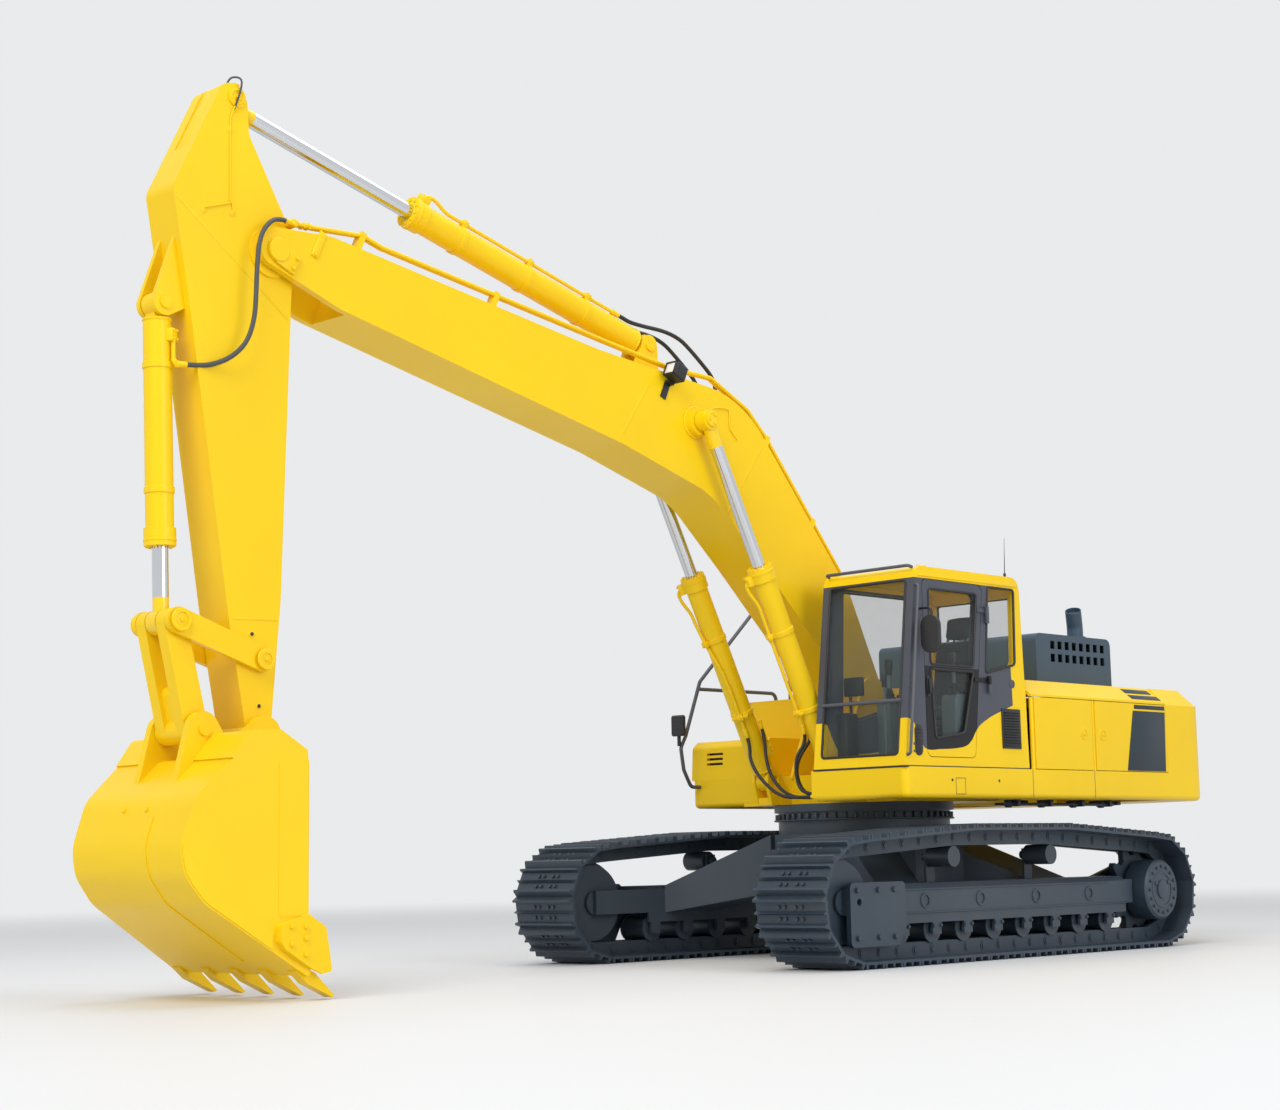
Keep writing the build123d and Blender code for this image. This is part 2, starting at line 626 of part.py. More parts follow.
def counterweight():
    """Cast counterweight with its round tail, hollow towards the engine."""
    side = DECK_HALF_WIDTH
    tail = -((TAIL_RADIUS**2 - side**2) ** 0.5)
    corner = 0.4 * (SEAM_COUNTERWEIGHT - tail)
    plan = make_face([
        Line((SEAM_COUNTERWEIGHT, -side), (SEAM_COUNTERWEIGHT, side)),
        Line((SEAM_COUNTERWEIGHT, side), (tail, side)),
        ThreePointArc((tail, side), (-TAIL_RADIUS, 0), (tail, -side)),
        Line((tail, -side), (SEAM_COUNTERWEIGHT, -side)),
    ])
    body = Pos(0, 0, DECK_BOTTOM) * extrude(plan, COVER_TOP - DECK_BOTTOM)
    body = fillet(body.edges().filter_by(Axis.Z).group_by(Axis.X)[0], corner)
    top = body.faces().sort_by(Axis.Z)[-1]
    rim = [edge for edge in top.edges() if edge.center().X < SEAM_COUNTERWEIGHT - 1]
    body = chamfer(rim, COVER_TOP - SHOULDER_LOW)
    foot = body.faces().sort_by(Axis.Z)[0]
    body = fillet([edge for edge in foot.edges() if edge.center().X < SEAM_COUNTERWEIGHT - 1], DECK_EDGE)
    depth = COUNTERWEIGHT_DEPTH * 0.72
    pocket = block(
        SEAM_COUNTERWEIGHT - depth, SEAM_COUNTERWEIGHT, -SHOULDER_INNER, SHOULDER_INNER, DECK_TOP, SHOULDER_LOW)
    return body - pocket


def section(points, x0, x1):
    """Plate whose cross-section (y, z) runs along the machine."""
    face = Plane.YZ * outline(*points)
    return Pos((x0 + x1) / 2, 0, 0) * extrude(face, amount=(x1 - x0) / 2, both=True)


def shoulder(sign, inner, x0, x1):
    """Top cover with its sloping shoulder, from the side's edge in to a given width."""
    outer, bend = sign * DECK_HALF_WIDTH, sign * SHOULDER_INNER
    low, high, plate = SHOULDER_LOW, COVER_TOP, COVER_PLATE
    points = [
        (outer, low), (outer, low + plate), (bend, high), (inner, high), (inner, high - plate),
        (bend, high - plate), (outer - sign * plate, low),
    ]
    return section(points, x0, x1)


def body_covers():
    """Fixed covers over the engine room and the bulkhead behind the cab."""
    rear, front = SEAM_COUNTERWEIGHT, BULKHEAD
    deck = shoulder(1, TANK_INNER, HOOD_FRONT - HINGE_RADIUS, front)
    covers = deck + shoulder(1, HOOD_LEFT + SEAM, rear, HOOD_FRONT)
    covers += shoulder(-1, HOOD_RIGHT - SEAM, rear, DOOR_SPLIT)
    covers += block(
        DOOR_SPLIT, HOOD_FRONT - HINGE_RADIUS, HOOD_RIGHT - SEAM, TANK_INNER, COVER_TOP - COVER_PLATE, COVER_TOP)
    wall_y = DECK_HALF_WIDTH - DOOR_THICKNESS - SIDE_GAP
    covers += block(front, front + COVER_PLATE, TANK_INNER, wall_y, DECK_TOP, COVER_TOP - COVER_PLATE)
    covers += block(front - COVER_PLATE, front + COVER_PLATE, TANK_INNER, SHOULDER_INNER, SHOULDER_LOW, COVER_TOP)
    for sign, inner in ((1, HOOD_LEFT + SEAM), (-1, HOOD_RIGHT - SEAM)):
        y0, y1 = sorted((inner, sign * SHOULDER_INNER))
        covers += block(rear, rear + COVER_PLATE, y0, y1, DECK_TOP, COVER_TOP - COVER_PLATE)
    hinge_z = COVER_TOP + HINGE_RADIUS
    for y0, y1 in hinge_places(1):
        covers += slab(disc((HOOD_FRONT, hinge_z), HINGE_RADIUS) + Pos(HOOD_FRONT, COVER_TOP) * Rectangle(
            2 * HINGE_RADIUS, 2 * HINGE_RADIUS), y0, y1)
    return covers


def hinge_places(part):
    """Spans of the hood's hinge barrels: part 0 on the hood, part 1 on the covers."""
    length = 8 * HINGE_RADIUS
    spans = []
    for share in (0.2, 0.8):
        start = HOOD_RIGHT + share * (HOOD_LEFT - HOOD_RIGHT) - length
        spans.append((start + part * (length + RUN_GAP), start + part * (length + RUN_GAP) + length))
    return spans


def engine_hood():
    """Raised engine hood, open below, with vents in its left side and barrels at its front."""
    bottom = COVER_TOP + SEAM
    front = HOOD_FRONT - HINGE_RADIUS - SEAM
    shell = block(HOOD_REAR, front, HOOD_RIGHT, HOOD_LEFT, bottom, HOOD_TOP)
    shell = fillet(shell.edges().filter_by(Axis.Y).group_by(Axis.Z)[-1], 70)
    plate = COVER_PLATE / 2
    shell -= block(
        HOOD_REAR + plate, front - plate, HOOD_RIGHT + plate, HOOD_LEFT - plate, bottom, HOOD_TOP - 5 * plate)
    pitch = (front - HOOD_REAR) / (VENT_COLUMNS + 2.5)
    for column in range(VENT_COLUMNS):
        for row in range(2):
            x, z = HOOD_REAR + (column + 1.2) * pitch, HOOD_TOP - 100 - 120 * row
            shell -= slab(Pos(x, z) * Rectangle(0.6 * pitch, 75), HOOD_LEFT - 2 * plate, HOOD_LEFT + plate)
    hinge_z = COVER_TOP + HINGE_RADIUS
    leaf = Rectangle(HOOD_FRONT - front + plate, HINGE_RADIUS)
    leaf = Pos((front + HOOD_FRONT) / 2 - plate / 2, hinge_z + HINGE_RADIUS / 2) * leaf
    barrel = disc((HOOD_FRONT, hinge_z), HINGE_RADIUS) + leaf
    for y0, y1 in hinge_places(0):
        shell += slab(barrel, y0, y1)
    return shell


def exhaust_pipe():
    """Curved exhaust stack on the hood."""
    foot, bend = HOOD_TOP, 2 * EXHAUST_RADIUS
    path = FilletPolyline(
        (EXHAUST_X, EXHAUST_Y, foot), (EXHAUST_X, EXHAUST_Y, EXHAUST_TOP - bend),
        (EXHAUST_X + bend / 2, EXHAUST_Y + bend / 4, EXHAUST_TOP), radius=bend)
    pipe = sweep(Plane(origin=path @ 0, z_dir=path % 0) * Circle(EXHAUST_RADIUS), path=path)
    mouth = Plane(origin=path @ 1, z_dir=path % 1) * Cylinder(EXHAUST_RADIUS - 8, EXHAUST_RADIUS)
    return pipe - mouth


def side_door(sign, x0, x1):
    """Swinging side door: flat panel with a hinge post at its front edge."""
    outer = DECK_HALF_WIDTH
    inner = outer - DOOR_THICKNESS
    panel = block(x0 + SEAM / 2, x1 - 3 * HINGE_RADIUS, inner, outer, DECK_TOP + SEAM, SHOULDER_LOW - SEAM)
    post_x, post_y = x1 - 1.5 * HINGE_RADIUS, outer - HINGE_RADIUS
    height = SHOULDER_LOW - DECK_TOP - SEAM
    post = Pos(post_x, post_y, DECK_TOP + RUN_GAP) * extrude(Circle(HINGE_RADIUS), height)
    strap = block(
        x1 - 3 * HINGE_RADIUS - SEAM, post_x, post_y - SEAM, post_y + SEAM, DECK_TOP + SEAM, SHOULDER_LOW - SEAM)
    door = panel + post + strap
    return door if sign > 0 else mirror(door, about=Plane.XZ)


def tank(x0, x1):
    """Closed welded tank on the right of the deck."""
    body = block(x0, x1, -DECK_HALF_WIDTH, TANK_INNER, DECK_TOP, TANK_TOP)
    body = fillet(body.edges().filter_by(Axis.X).group_by(Axis.Z)[-1].group_by(Axis.Y)[0], 90)
    wall = TANK_WALL
    room = block(
        x0 + wall, x1 - wall, -DECK_HALF_WIDTH + 3 * wall, TANK_INNER - wall,
        DECK_TOP + wall, TANK_TOP - 3 * wall)
    return body - room


def tube(points, radius):
    """Bent tube through points."""
    path = FilletPolyline(*points, radius=4 * radius)
    return sweep(Plane(origin=path @ 0, z_dir=path % 0) * Circle(radius), path=path)


def handrails():
    """Access rail on the right, from the deck's front up over the tanks, with its middle bar."""
    y, front, foot = RAIL_Y, DECK_FRONT_RIGHT, DECK_TOP - 60
    rear, bar_end = TANK_SPLIT + 120, TANK_SPLIT + 330
    points = [
        (front, foot), (front + 120, foot), (front + 212, foot + 155), (front + 245, foot + 354),
        (front + 176, foot + 465), (front - 30, RAIL_HIGH - 730), (TANK_FRONT - 90, RAIL_HIGH), (rear, RAIL_HIGH),
        (rear, TANK_TOP)]
    rail = tube([(x, y, z) for x, z in points], RAIL_TUBE)
    bar_z = TANK_TOP + 95
    bar = tube([(front - 10, y, bar_z), (bar_end, y, bar_z), (bar_end, y, TANK_TOP)], RAIL_TUBE)
    return rail + bar


def mirrors():
    """Right mirror on the access rail and left mirror on a bent arm at the cab's front pillar."""
    x, z = DECK_FRONT_RIGHT + 265, DECK_TOP + 400
    head = chamfer(block(x - 25, x + 35, RAIL_Y - 75, RAIL_Y + 75, z, z + 190).edges(), 15)
    right = head + block(x - 12, x + 12, RAIL_Y - 12, RAIL_Y + 12, z - 90, z + 20) - handrails()
    x, y, z = MIRROR_X, CAB_LEFT + MIRROR_OUT, MIRROR_Z
    oval = Pos(x, y, z) * extrude(Plane.YZ * SlotOverall(MIRROR_HEIGHT, MIRROR_WIDTH, 90), MIRROR_THICKNESS)
    stay = tube([(x, CAB_LEFT, z + MIRROR_RISE), (x, y, z + MIRROR_RISE), (x, y, z)], MIRROR_TUBE)
    return group(right.solids().sort_by(Axis.Z)[-1], stay + oval)


def tool_box():
    """Tool box in front of the tanks, with a slotted front."""
    face = outline(
        (TANK_FRONT + SEAM, DECK_TOP), (DECK_FRONT_RIGHT, DECK_TOP),
        (DECK_FRONT_RIGHT - 20, TOOLBOX_TOP - 60, 50), (DECK_FRONT_RIGHT - 90, TOOLBOX_TOP, 60),
        (TANK_FRONT + SEAM, TOOLBOX_TOP),
    )
    body = slab(face, -DECK_HALF_WIDTH, TOOLBOX_INNER)
    wall = TANK_WALL
    body -= block(
        TANK_FRONT + SEAM + wall, DECK_FRONT_RIGHT - 110, -DECK_HALF_WIDTH + wall, TOOLBOX_INNER - wall,
        DECK_TOP + wall, TOOLBOX_TOP - 5 * wall)
    for row in range(3):
        y, z = -DECK_HALF_WIDTH + 180, (DECK_TOP + TOOLBOX_TOP) / 2 + 45 * (row - 1)
        body -= block(DECK_FRONT_RIGHT - 60, DECK_FRONT_RIGHT, y, y + 200, z, z + 22)
    return body


# Cab

FLOOR_TOP = DECK_TOP + CAB_WALL


def cab_profile(inset):
    """Side view of the cab, moved inwards."""
    low, high = DECK_TOP + inset, CAB_TOP - inset
    lean = (CAB_FRONT - CAB_FRONT_TOP) / (CAB_TOP - DECK_TOP)
    back = (CAB_REAR_TOP - CAB_REAR) / (CAB_TOP - DECK_TOP)
    corner = 2 * CAB_WALL - inset
    return outline(
        (CAB_REAR + inset + back * inset, low), (CAB_FRONT - inset - lean * inset, low),
        (CAB_FRONT_TOP - inset + lean * inset, high, corner), (CAB_REAR_TOP + inset - back * inset, high, corner),
    )


def cab_shell():
    """Hollow cab with its windows and the door opening cut."""
    shell = slab(cab_profile(0), CAB_RIGHT, CAB_LEFT)
    shell -= slab(cab_profile(CAB_WALL), CAB_RIGHT + CAB_WALL, CAB_LEFT - CAB_WALL)
    for box in window_frames().values():
        shell -= box
    return shell - slab(door_outline(SEAM), CAB_LEFT - 2 * CAB_WALL, CAB_LEFT + CAB_WALL)


def door_outline(grow):
    """Door seen from the left."""
    return outline(
        (DOOR_REAR_LOW - grow, DOOR_BOTTOM - grow, CAB_WALL), (DOOR_FRONT + grow, DOOR_BOTTOM - grow, CAB_WALL),
        (DOOR_FRONT + grow, DOOR_TOP + grow, CAB_WALL), (DOOR_REAR_TOP - grow, DOOR_TOP + grow, CAB_WALL),
    )


def quarter_outline():
    """Quarter window behind the door."""
    return outline((-290, 2470, 60), (140, 2380, 40), (70, 3120, 40), (-310, 3120, 40))


def right_outline():
    """Window in the right wall."""
    return outline((-300, 2250, 60), (960, 1960, 60), (900, 3110, 60), (-310, 3110, 60))


def window_frames():
    """Cutters for the fixed windows."""
    reach = 2 * CAB_WALL
    y0, y1 = CAB_RIGHT + CAB_WALL + 20, CAB_LEFT - CAB_WALL - 20
    return {
        "windscreen": block(CAB_FRONT_TOP - reach, CAB_FRONT + reach, y0, y1, DECK_TOP + 100, CAB_TOP - reach),
        "rear": block(CAB_REAR - reach, CAB_REAR_TOP + reach, y0, y1, 2330, CAB_TOP - 1.4 * reach),
        "quarter": slab(quarter_outline(), CAB_LEFT - reach, CAB_LEFT + reach),
        "right": slab(right_outline(), CAB_RIGHT - reach, CAB_RIGHT + reach),
    }


def cab_panels():
    """Cab shell split where its panels meet."""
    far = 4 * CAB_WALL
    wall = CAB_WALL + 20
    front_region = outline(
        (CAB_FRONT - wall, DECK_TOP), (CAB_FRONT + far, DECK_TOP), (CAB_FRONT + far, CAB_TOP),
        (CAB_FRONT_TOP - wall, CAB_TOP),
    )
    rear_region = outline(
        (CAB_REAR - far, DECK_TOP), (CAB_REAR + wall, DECK_TOP), (CAB_REAR_TOP + wall, CAB_TOP),
        (CAB_REAR - far, CAB_TOP),
    )
    y0, y1 = CAB_RIGHT - far, CAB_LEFT + far
    x0, x1 = CAB_REAR - far, CAB_FRONT + far
    middle = (CAB_RIGHT + CAB_LEFT) / 2
    regions = [
        ("cab_floor", block(x0, x1, y0, y1, DECK_TOP, FLOOR_TOP)),
        ("cab_roof", block(x0, x1, y0, y1, CAB_TOP - CAB_WALL - 40, CAB_TOP)),
        ("cab_front_frame", slab(front_region, y0, y1)),
        ("cab_rear_wall", slab(rear_region, y0, y1)),
        ("cab_left_wall", block(x0, x1, middle, y1, DECK_TOP, CAB_TOP)),
        ("cab_right_wall", block(x0, x1, y0, middle, DECK_TOP, CAB_TOP)),
    ]
    shell = cab_shell()
    panels = {}
    for name, region in regions:
        panels[name] = shell & region
        shell = shell - region
    barrel_x, barrel_y = hinge_axis()
    for z in door_hinge_heights():
        lower = Pos(barrel_x, barrel_y, z - HINGE_RADIUS * 4) * extrude(Circle(HINGE_RADIUS), HINGE_RADIUS * 4)
        lower += block(barrel_x - SEAM, barrel_x + SEAM, CAB_LEFT - SEAM, barrel_y, z - HINGE_RADIUS * 4, z)
        panels["cab_left_wall"] += lower
    return panels


def hinge_axis():
    """Cab door's upright hinge axis."""
    return DOOR_REAR_TOP - 2 * SEAM - HINGE_RADIUS, CAB_LEFT + HINGE_RADIUS + SEAM


def door_hinge_heights():
    """Heights where the door's hinge barrels meet the cab's."""
    return DOOR_BOTTOM + 620, DOOR_TOP - 250


def door_rear(z):
    """The door's leaning rear edge at a height."""
    lean = (DOOR_REAR_LOW - DOOR_REAR_TOP) / (DOOR_TOP - DOOR_BOTTOM)
    return DOOR_REAR_LOW - lean * (z - DOOR_BOTTOM)


def door_windows():
    """Upper and lower panes of the door."""
    sill = 2400.0
    frame = 1.3 * CAB_WALL

    def rear(z):
        return door_rear(z) + frame

    upper = outline(
        (rear(sill), sill + 20, 30), (DOOR_FRONT - frame, sill + 20, 30),
        (DOOR_FRONT - frame, DOOR_TOP - frame, 60), (rear(DOOR_TOP), DOOR_TOP - frame, 60))
    low = DOOR_BOTTOM + 150
    lower = outline(
        (rear(low) + 60, low + 60, 120), (DOOR_FRONT - frame - 40, low, 60),
        (DOOR_FRONT - frame, sill - 20, 30), (rear(sill), sill - 20, 30))
    return upper, lower


def cab_door():
    """Left cab door with two window openings and hinge barrels at its rear edge."""
    door = slab(door_outline(0), CAB_LEFT - CAB_WALL, CAB_LEFT)
    for window in door_windows():
        door -= slab(window, CAB_LEFT - 2 * CAB_WALL, CAB_LEFT + CAB_WALL)
    barrel_x, barrel_y = hinge_axis()
    for z in door_hinge_heights():
        upper = Pos(barrel_x, barrel_y, z + RUN_GAP) * extrude(Circle(HINGE_RADIUS), HINGE_RADIUS * 4)
        edge = door_rear(z)
        heights = z + HINGE_RADIUS, z + HINGE_RADIUS * 3
        strap = block(barrel_x, edge + CAB_WALL, CAB_LEFT + SEAM, CAB_LEFT + 2 * SEAM, *heights)
        pad = block(edge + CAB_WALL / 3, edge + CAB_WALL, CAB_LEFT - SEAM, CAB_LEFT + 2 * SEAM, *heights)
        door += upper + strap + pad
    return door


def pane(face, y):
    """Flat pane that fills a side window."""
    return slab(face, y - GLASS / 2, y + GLASS / 2)


def cab_glass():
    """Fixed panes of the cab, each filling its opening."""
    frames = window_frames()
    mid = CAB_WALL / 2
    shell = slab(cab_profile(mid - GLASS / 2), CAB_RIGHT, CAB_LEFT)
    shell -= slab(cab_profile(mid + GLASS / 2), CAB_RIGHT, CAB_LEFT)
    return group(
        shell & frames["windscreen"], shell & frames["rear"],
        pane(quarter_outline(), CAB_LEFT - mid), pane(right_outline(), CAB_RIGHT + mid),
    )


def cab_door_glass():
    """Door panes."""
    return group(*[pane(window, CAB_LEFT - CAB_WALL / 2) for window in door_windows()])


SEAT_X = 80.0
SEAT_Y = (CAB_RIGHT + CAB_LEFT) / 2
CONSOLE_HALF = 70.0
CONSOLE_GAP = 15.0  # beside the seat and the cab wall
CONSOLE_Y = (CAB_LEFT - CAB_RIGHT) / 2 - CAB_WALL - CONSOLE_GAP / 3 - CONSOLE_HALF
SEAT_HALF = CONSOLE_Y - CONSOLE_HALF - CONSOLE_GAP


def seat():
    """Operator's seat: base, cushion, backrest and headrest."""
    x, y, z, half = SEAT_X, SEAT_Y, FLOOR_TOP, SEAT_HALF
    base = block(x - 200, x + 250, y - 0.8 * half, y + 0.8 * half, z, z + 350)
    cushion = block(x - 250, x + 300, y - half, y + half, z + 350, z + 490)
    cushion = chamfer(cushion.edges(), 40)
    back = outline(
        (x - 250, z + 420, 40), (x - 90, z + 420, 40), (x - 180, z + 1080, 60), (x - 310, z + 1080, 60))
    back = slab(back, y - 0.96 * half, y + 0.96 * half)
    head = block(x - 310, x - 200, y - 0.54 * half, y + 0.54 * half, z + 1060, z + 1290)
    return base + cushion + back + chamfer(head.edges(), 30)


def upright(x, y, z, radius, height):
    """Round stick standing on a point."""
    return Pos(x, y, z) * extrude(Circle(radius), height)


def consoles():
    """Consoles with joysticks on both sides of the seat, and the travel pedals in front."""
    solids = []
    x, z, half = SEAT_X, FLOOR_TOP, CONSOLE_HALF
    for sign in (-1, 1):
        y = SEAT_Y + sign * CONSOLE_Y
        box = block(x - 250, x + 420, y - half, y + half, z, z + 560)
        box = fillet(box.edges().filter_by(Axis.Y).group_by(Axis.Z)[-1], 60)
        solids.append(box + upright(x + 330, y, z + 550, 16, 260) + upright(x + 330, y, z + 790, 28, 120))
        y = SEAT_Y + sign * 0.42 * SEAT_HALF
        pedal = block(x + 640, x + 820, y - 55, y + 55, z, z + 60)
        solids.append(pedal + upright(x + 700, y, z + 50, 14, 640))
    return group(*solids)


# Boom

def boom_top():
    """Corners of the boom's top edge in its own frame, from the foot to the tip."""
    tip = BOOM_LENGTH
    return [(620, 740), (BOOM_BEND, 1600), (BOOM_BEND + BOOM_FLAT, 1062), (tip - 360, 365), (tip + 130, 120)]


def boom_outline(inset):
    """Boom side view in its own frame: along from the foot pin to the tip pin, and up."""
    t, tip = inset, BOOM_LENGTH
    rear, bend, knee, crest, nose = boom_top()
    return outline(
        (-FOOT_BOSS * 0.65 + t, FOOT_BOSS * 0.68 - t, 0), (rear[0] + t / 3, rear[1] - t, 500),
        (bend[0], bend[1] - t, 1050), (knee[0], knee[1] - t, 2000), (crest[0], crest[1] - t, 120),
        (nose[0] - t, nose[1] - t, 100), (nose[0] - t, -130 + t, 100), (tip - 630, -80 + t, 600),
        (BOOM_BEND + 1080, 500 + t, 1200), (BOOM_BEND + 20, 640 + t, 900), (BOOM_BEND - 760, 400 + t, 1500),
        (FOOT_BOSS * 0.6, -FOOT_BOSS * 0.75 + t, 0),
    )


def boom_height(x):
    """Height of the boom's top edge, corners unrounded, at a distance from the foot pin."""
    return height_along(boom_top(), x)


def height_along(points, x):
    """Height at x of straight runs between points."""
    for (x0, z0), (x1, z1) in zip(points, points[1:]):
        if min(x0, x1) <= x <= max(x0, x1):
            return z0 + (z1 - z0) * (x - x0) / (x1 - x0)
    return points[-1][1]


def boom():
    """Welded box boom: foot bosses, tip fork, cylinder bosses and lugs."""
    body = slab(boom_outline(0), -BOOM_HALF, BOOM_HALF, BOOM_PLANE)
    body += slab(disc((0, 0), FOOT_BOSS), -BOOM_HALF, BOOM_HALF, BOOM_PLANE)
    end = BOOM_LENGTH - FORK_DEPTH
    web = BOOM_HALF - BOOM_SIDE
    room = slab(boom_outline(BOOM_FLANGE), -web, web, BOOM_PLANE)
    start, stop = 2 * FOOT_BOSS, end - BOOM_FLANGE
    span = Pos((start + stop) / 2, 0) * Rectangle(stop - start, 4 * BOOM_LIFT_PIN[1])
    room = room & slab(span, -BOOM_HALF, BOOM_HALF, BOOM_PLANE)
    mouth = Pos(end + FORK_DEPTH, 0) * Rectangle(2 * FORK_DEPTH, 2 * FORK_DEPTH)
    body = body - room - slab(mouth, -FORK_INNER, FORK_INNER, BOOM_PLANE)
    boss = BOOM_CYLINDER_Y - BOOM_CYLINDER["width"] / 2 - SIDE_GAP
    body += twin(slab(disc(BOOM_LIFT_PIN, 120), BOOM_HALF - BOOM_SIDE, boss, BOOM_PLANE))
    base = Pos(ARM_FOOT_PIN[0] - 90, ARM_FOOT_PIN[1] - 330) * Rectangle(320, 60)
    lug = rib(disc(ARM_FOOT_PIN, 88), base)
    body += twin(slab(lug, LUG_INNER, LUG_INNER + LUG_THICKNESS, BOOM_PLANE))
    body -= slab(disc((0, 0), FOOT_PIN), -2 * BOOM_HALF, 2 * BOOM_HALF, BOOM_PLANE)
    body -= slab(disc((BOOM_LENGTH, 0), TIP_PIN), -2 * BOOM_HALF, 2 * BOOM_HALF, BOOM_PLANE)
    body -= slab(disc(ARM_FOOT_PIN, ARM_CYLINDER["pin"]), -2 * LUG_INNER, 2 * LUG_INNER, BOOM_PLANE)
    return body


def boom_pins():
    """Arm pivot pin and arm-cylinder foot pin."""
    tip = slab(disc((BOOM_LENGTH, 0), TIP_PIN - RUN_GAP), -BOOM_HALF - 20, BOOM_HALF + 20, BOOM_PLANE)
    reach = LUG_INNER + LUG_THICKNESS + 15
    foot = slab(disc(ARM_FOOT_PIN, ARM_CYLINDER["pin"] - RUN_GAP), -reach, reach, BOOM_PLANE)
    return group(tip, foot)


def work_lamp():
    """Work lamp beside the boom's top edge, on a bent stay."""
    x, z = LAMP
    stay = slab(Pos(x, z - 80) * Rectangle(60, 150), BOOM_HALF, BOOM_HALF + 12, BOOM_PLANE)
    stay += slab(Pos(x, z - 15) * Rectangle(60, 20), BOOM_HALF, BOOM_HALF + 60, BOOM_PLANE)
    lamp = slab(Pos(x + 20, z + 60) * Rectangle(140, 130), BOOM_HALF + 30, BOOM_HALF + 160, BOOM_PLANE)
    return chamfer(lamp.edges(), 12) + stay


def boom_run():
    """Points in the boom's frame where its pipes bend, each a height above the top edge."""
    tip, bend = BOOM_LENGTH, BOOM_BEND
    rises = [
        (tip - 25, 64), (tip - 216, 56), (tip - 600, 117), (tip - 790, 91), (bend + BOOM_FLAT, 105),
        (bend + 830, 65), (bend + 380, 98), (bend - 120, 15), (bend - 430, 54), (760, 45),
    ]
    return [(x, boom_height(x) + rise) for x, rise in rises]


def boom_pipes():
    """Two hydraulic pipes along the boom's left top edge, with the clamps that hold them."""
    run = boom_run()
    pipes = []
    for y in (PIPE_Y, PIPE_Y - PIPE_PITCH):
        points = [place(BOOM_FOOT, BOOM_ANGLE, point) for point in run]
        pipes.append(tube([(x, y, z) for x, z in points], PIPE_RADIUS))
    clamps = pipes[0] + pipes[1]
    reach = PIPE_RADIUS + CLAMP_EDGE
    boom_side = slab(boom_outline(0), -BOOM_HALF, BOOM_HALF, BOOM_PLANE)
    middle = (run[3][0] + run[4][0]) / 2
    for x in (run[2][0], middle, run[5][0], run[8][0], run[9][0] + 500):
        top = height_along(run, x) + reach
        post = Pos(x, top - CLAMP_HEIGHT / 2) * Rectangle(3 * PIPE_RADIUS, CLAMP_HEIGHT)
        clamps += slab(post, PIPE_Y - PIPE_PITCH - reach, PIPE_Y + reach, BOOM_PLANE) - boom_side
    return clamps


# Arm

def arm_outline(inset):
    """Arm side view: along from the pivot to the bucket pin, and out to the front."""
    t, tip = inset, ARM_LENGTH
    return outline(
        (-1165 + t, 300, 60), (-1125 + t, 440 - t, 90), (-303, 815 - t, 120), (640, 625 - t, 300),
        (tip - 770, 265 - t, 600), (tip + 120 - t, 70 - t, 60), (tip + 120 - t, -90 + t, 60),
        (tip - 946, -160 + t, 600), (300, -190 + t, 300), (-160, -190 + t, 180), (-320, -90 + t, 120),
        (-808, 205 + t, 120), (-1040, 228 + t, 60),
    )


def arm():
    """Welded box arm with its pivot boss, cylinder lugs and bucket-pin boss."""
    body = slab(arm_outline(0), -ARM_HALF, ARM_HALF, ARM_PLANE)
    web = ARM_HALF - ARM_SIDE
    room = slab(arm_outline(ARM_FLANGE), -web, web, ARM_PLANE)
    span = Pos((ARM_LENGTH - 2 * FOOT_BOSS) / 2 - 200, 300) * Rectangle(ARM_LENGTH - 2 * FOOT_BOSS + 600, 1400)
    solid_pivot = disc((0, 0), FOOT_BOSS)
    room = room & slab(span - solid_pivot, -ARM_HALF, ARM_HALF, ARM_PLANE)
    body = body - room
    for point, radius in (((0, 0), FOOT_BOSS - 10), ((ARM_LENGTH, 0), 118)):
        body += slab(disc(point, radius), -ARM_BOSS_HALF, ARM_BOSS_HALF, ARM_PLANE)
    slot = Pos(SLOT_END - 500, 300) * Rectangle(1000, 900)
    body -= slab(slot, -LUG_INNER, LUG_INNER, ARM_PLANE)
    base = Pos(100, 600) * Rectangle(700, 120)
    lug = rib(disc(BUCKET_FOOT_PIN, 92), base)
    body += twin(slab(lug, LUG_INNER, LUG_INNER + LUG_THICKNESS, ARM_PLANE))
    holes = [
        ((0, 0), TIP_PIN), ((ARM_LENGTH, 0), LINK_PIN + 5), (SIDE_LINK_PIN, LINK_PIN),
        (BUCKET_FOOT_PIN, LINK_PIN)]
    for point, radius in holes:
        body -= slab(disc(point, radius), -2 * ARM_HALF, 2 * ARM_HALF, ARM_PLANE)
    return body


def arm_pins():
    """Pins that the arm carries: bucket-cylinder foot, side links and bucket."""
    reach = LUG_INNER + LUG_THICKNESS + 15
    ear = EAR_INNER + EAR_THICKNESS
    foot = slab(disc(BUCKET_FOOT_PIN, LINK_PIN - RUN_GAP), -reach, reach, ARM_PLANE)
    links = slab(disc(SIDE_LINK_PIN, LINK_PIN - RUN_GAP), -ear + 35, ear - 35, ARM_PLANE)
    tip = slab(disc((ARM_LENGTH, 0), LINK_PIN + 5 - RUN_GAP), -ear - 18, ear + 18, ARM_PLANE)
    head = slab(disc(ARM_ROD_PIN, 70), ARM_HALF, ARM_HALF + 18, ARM_PLANE)
    return group(foot, links, tip, pair(head))


# Bucket and linkage

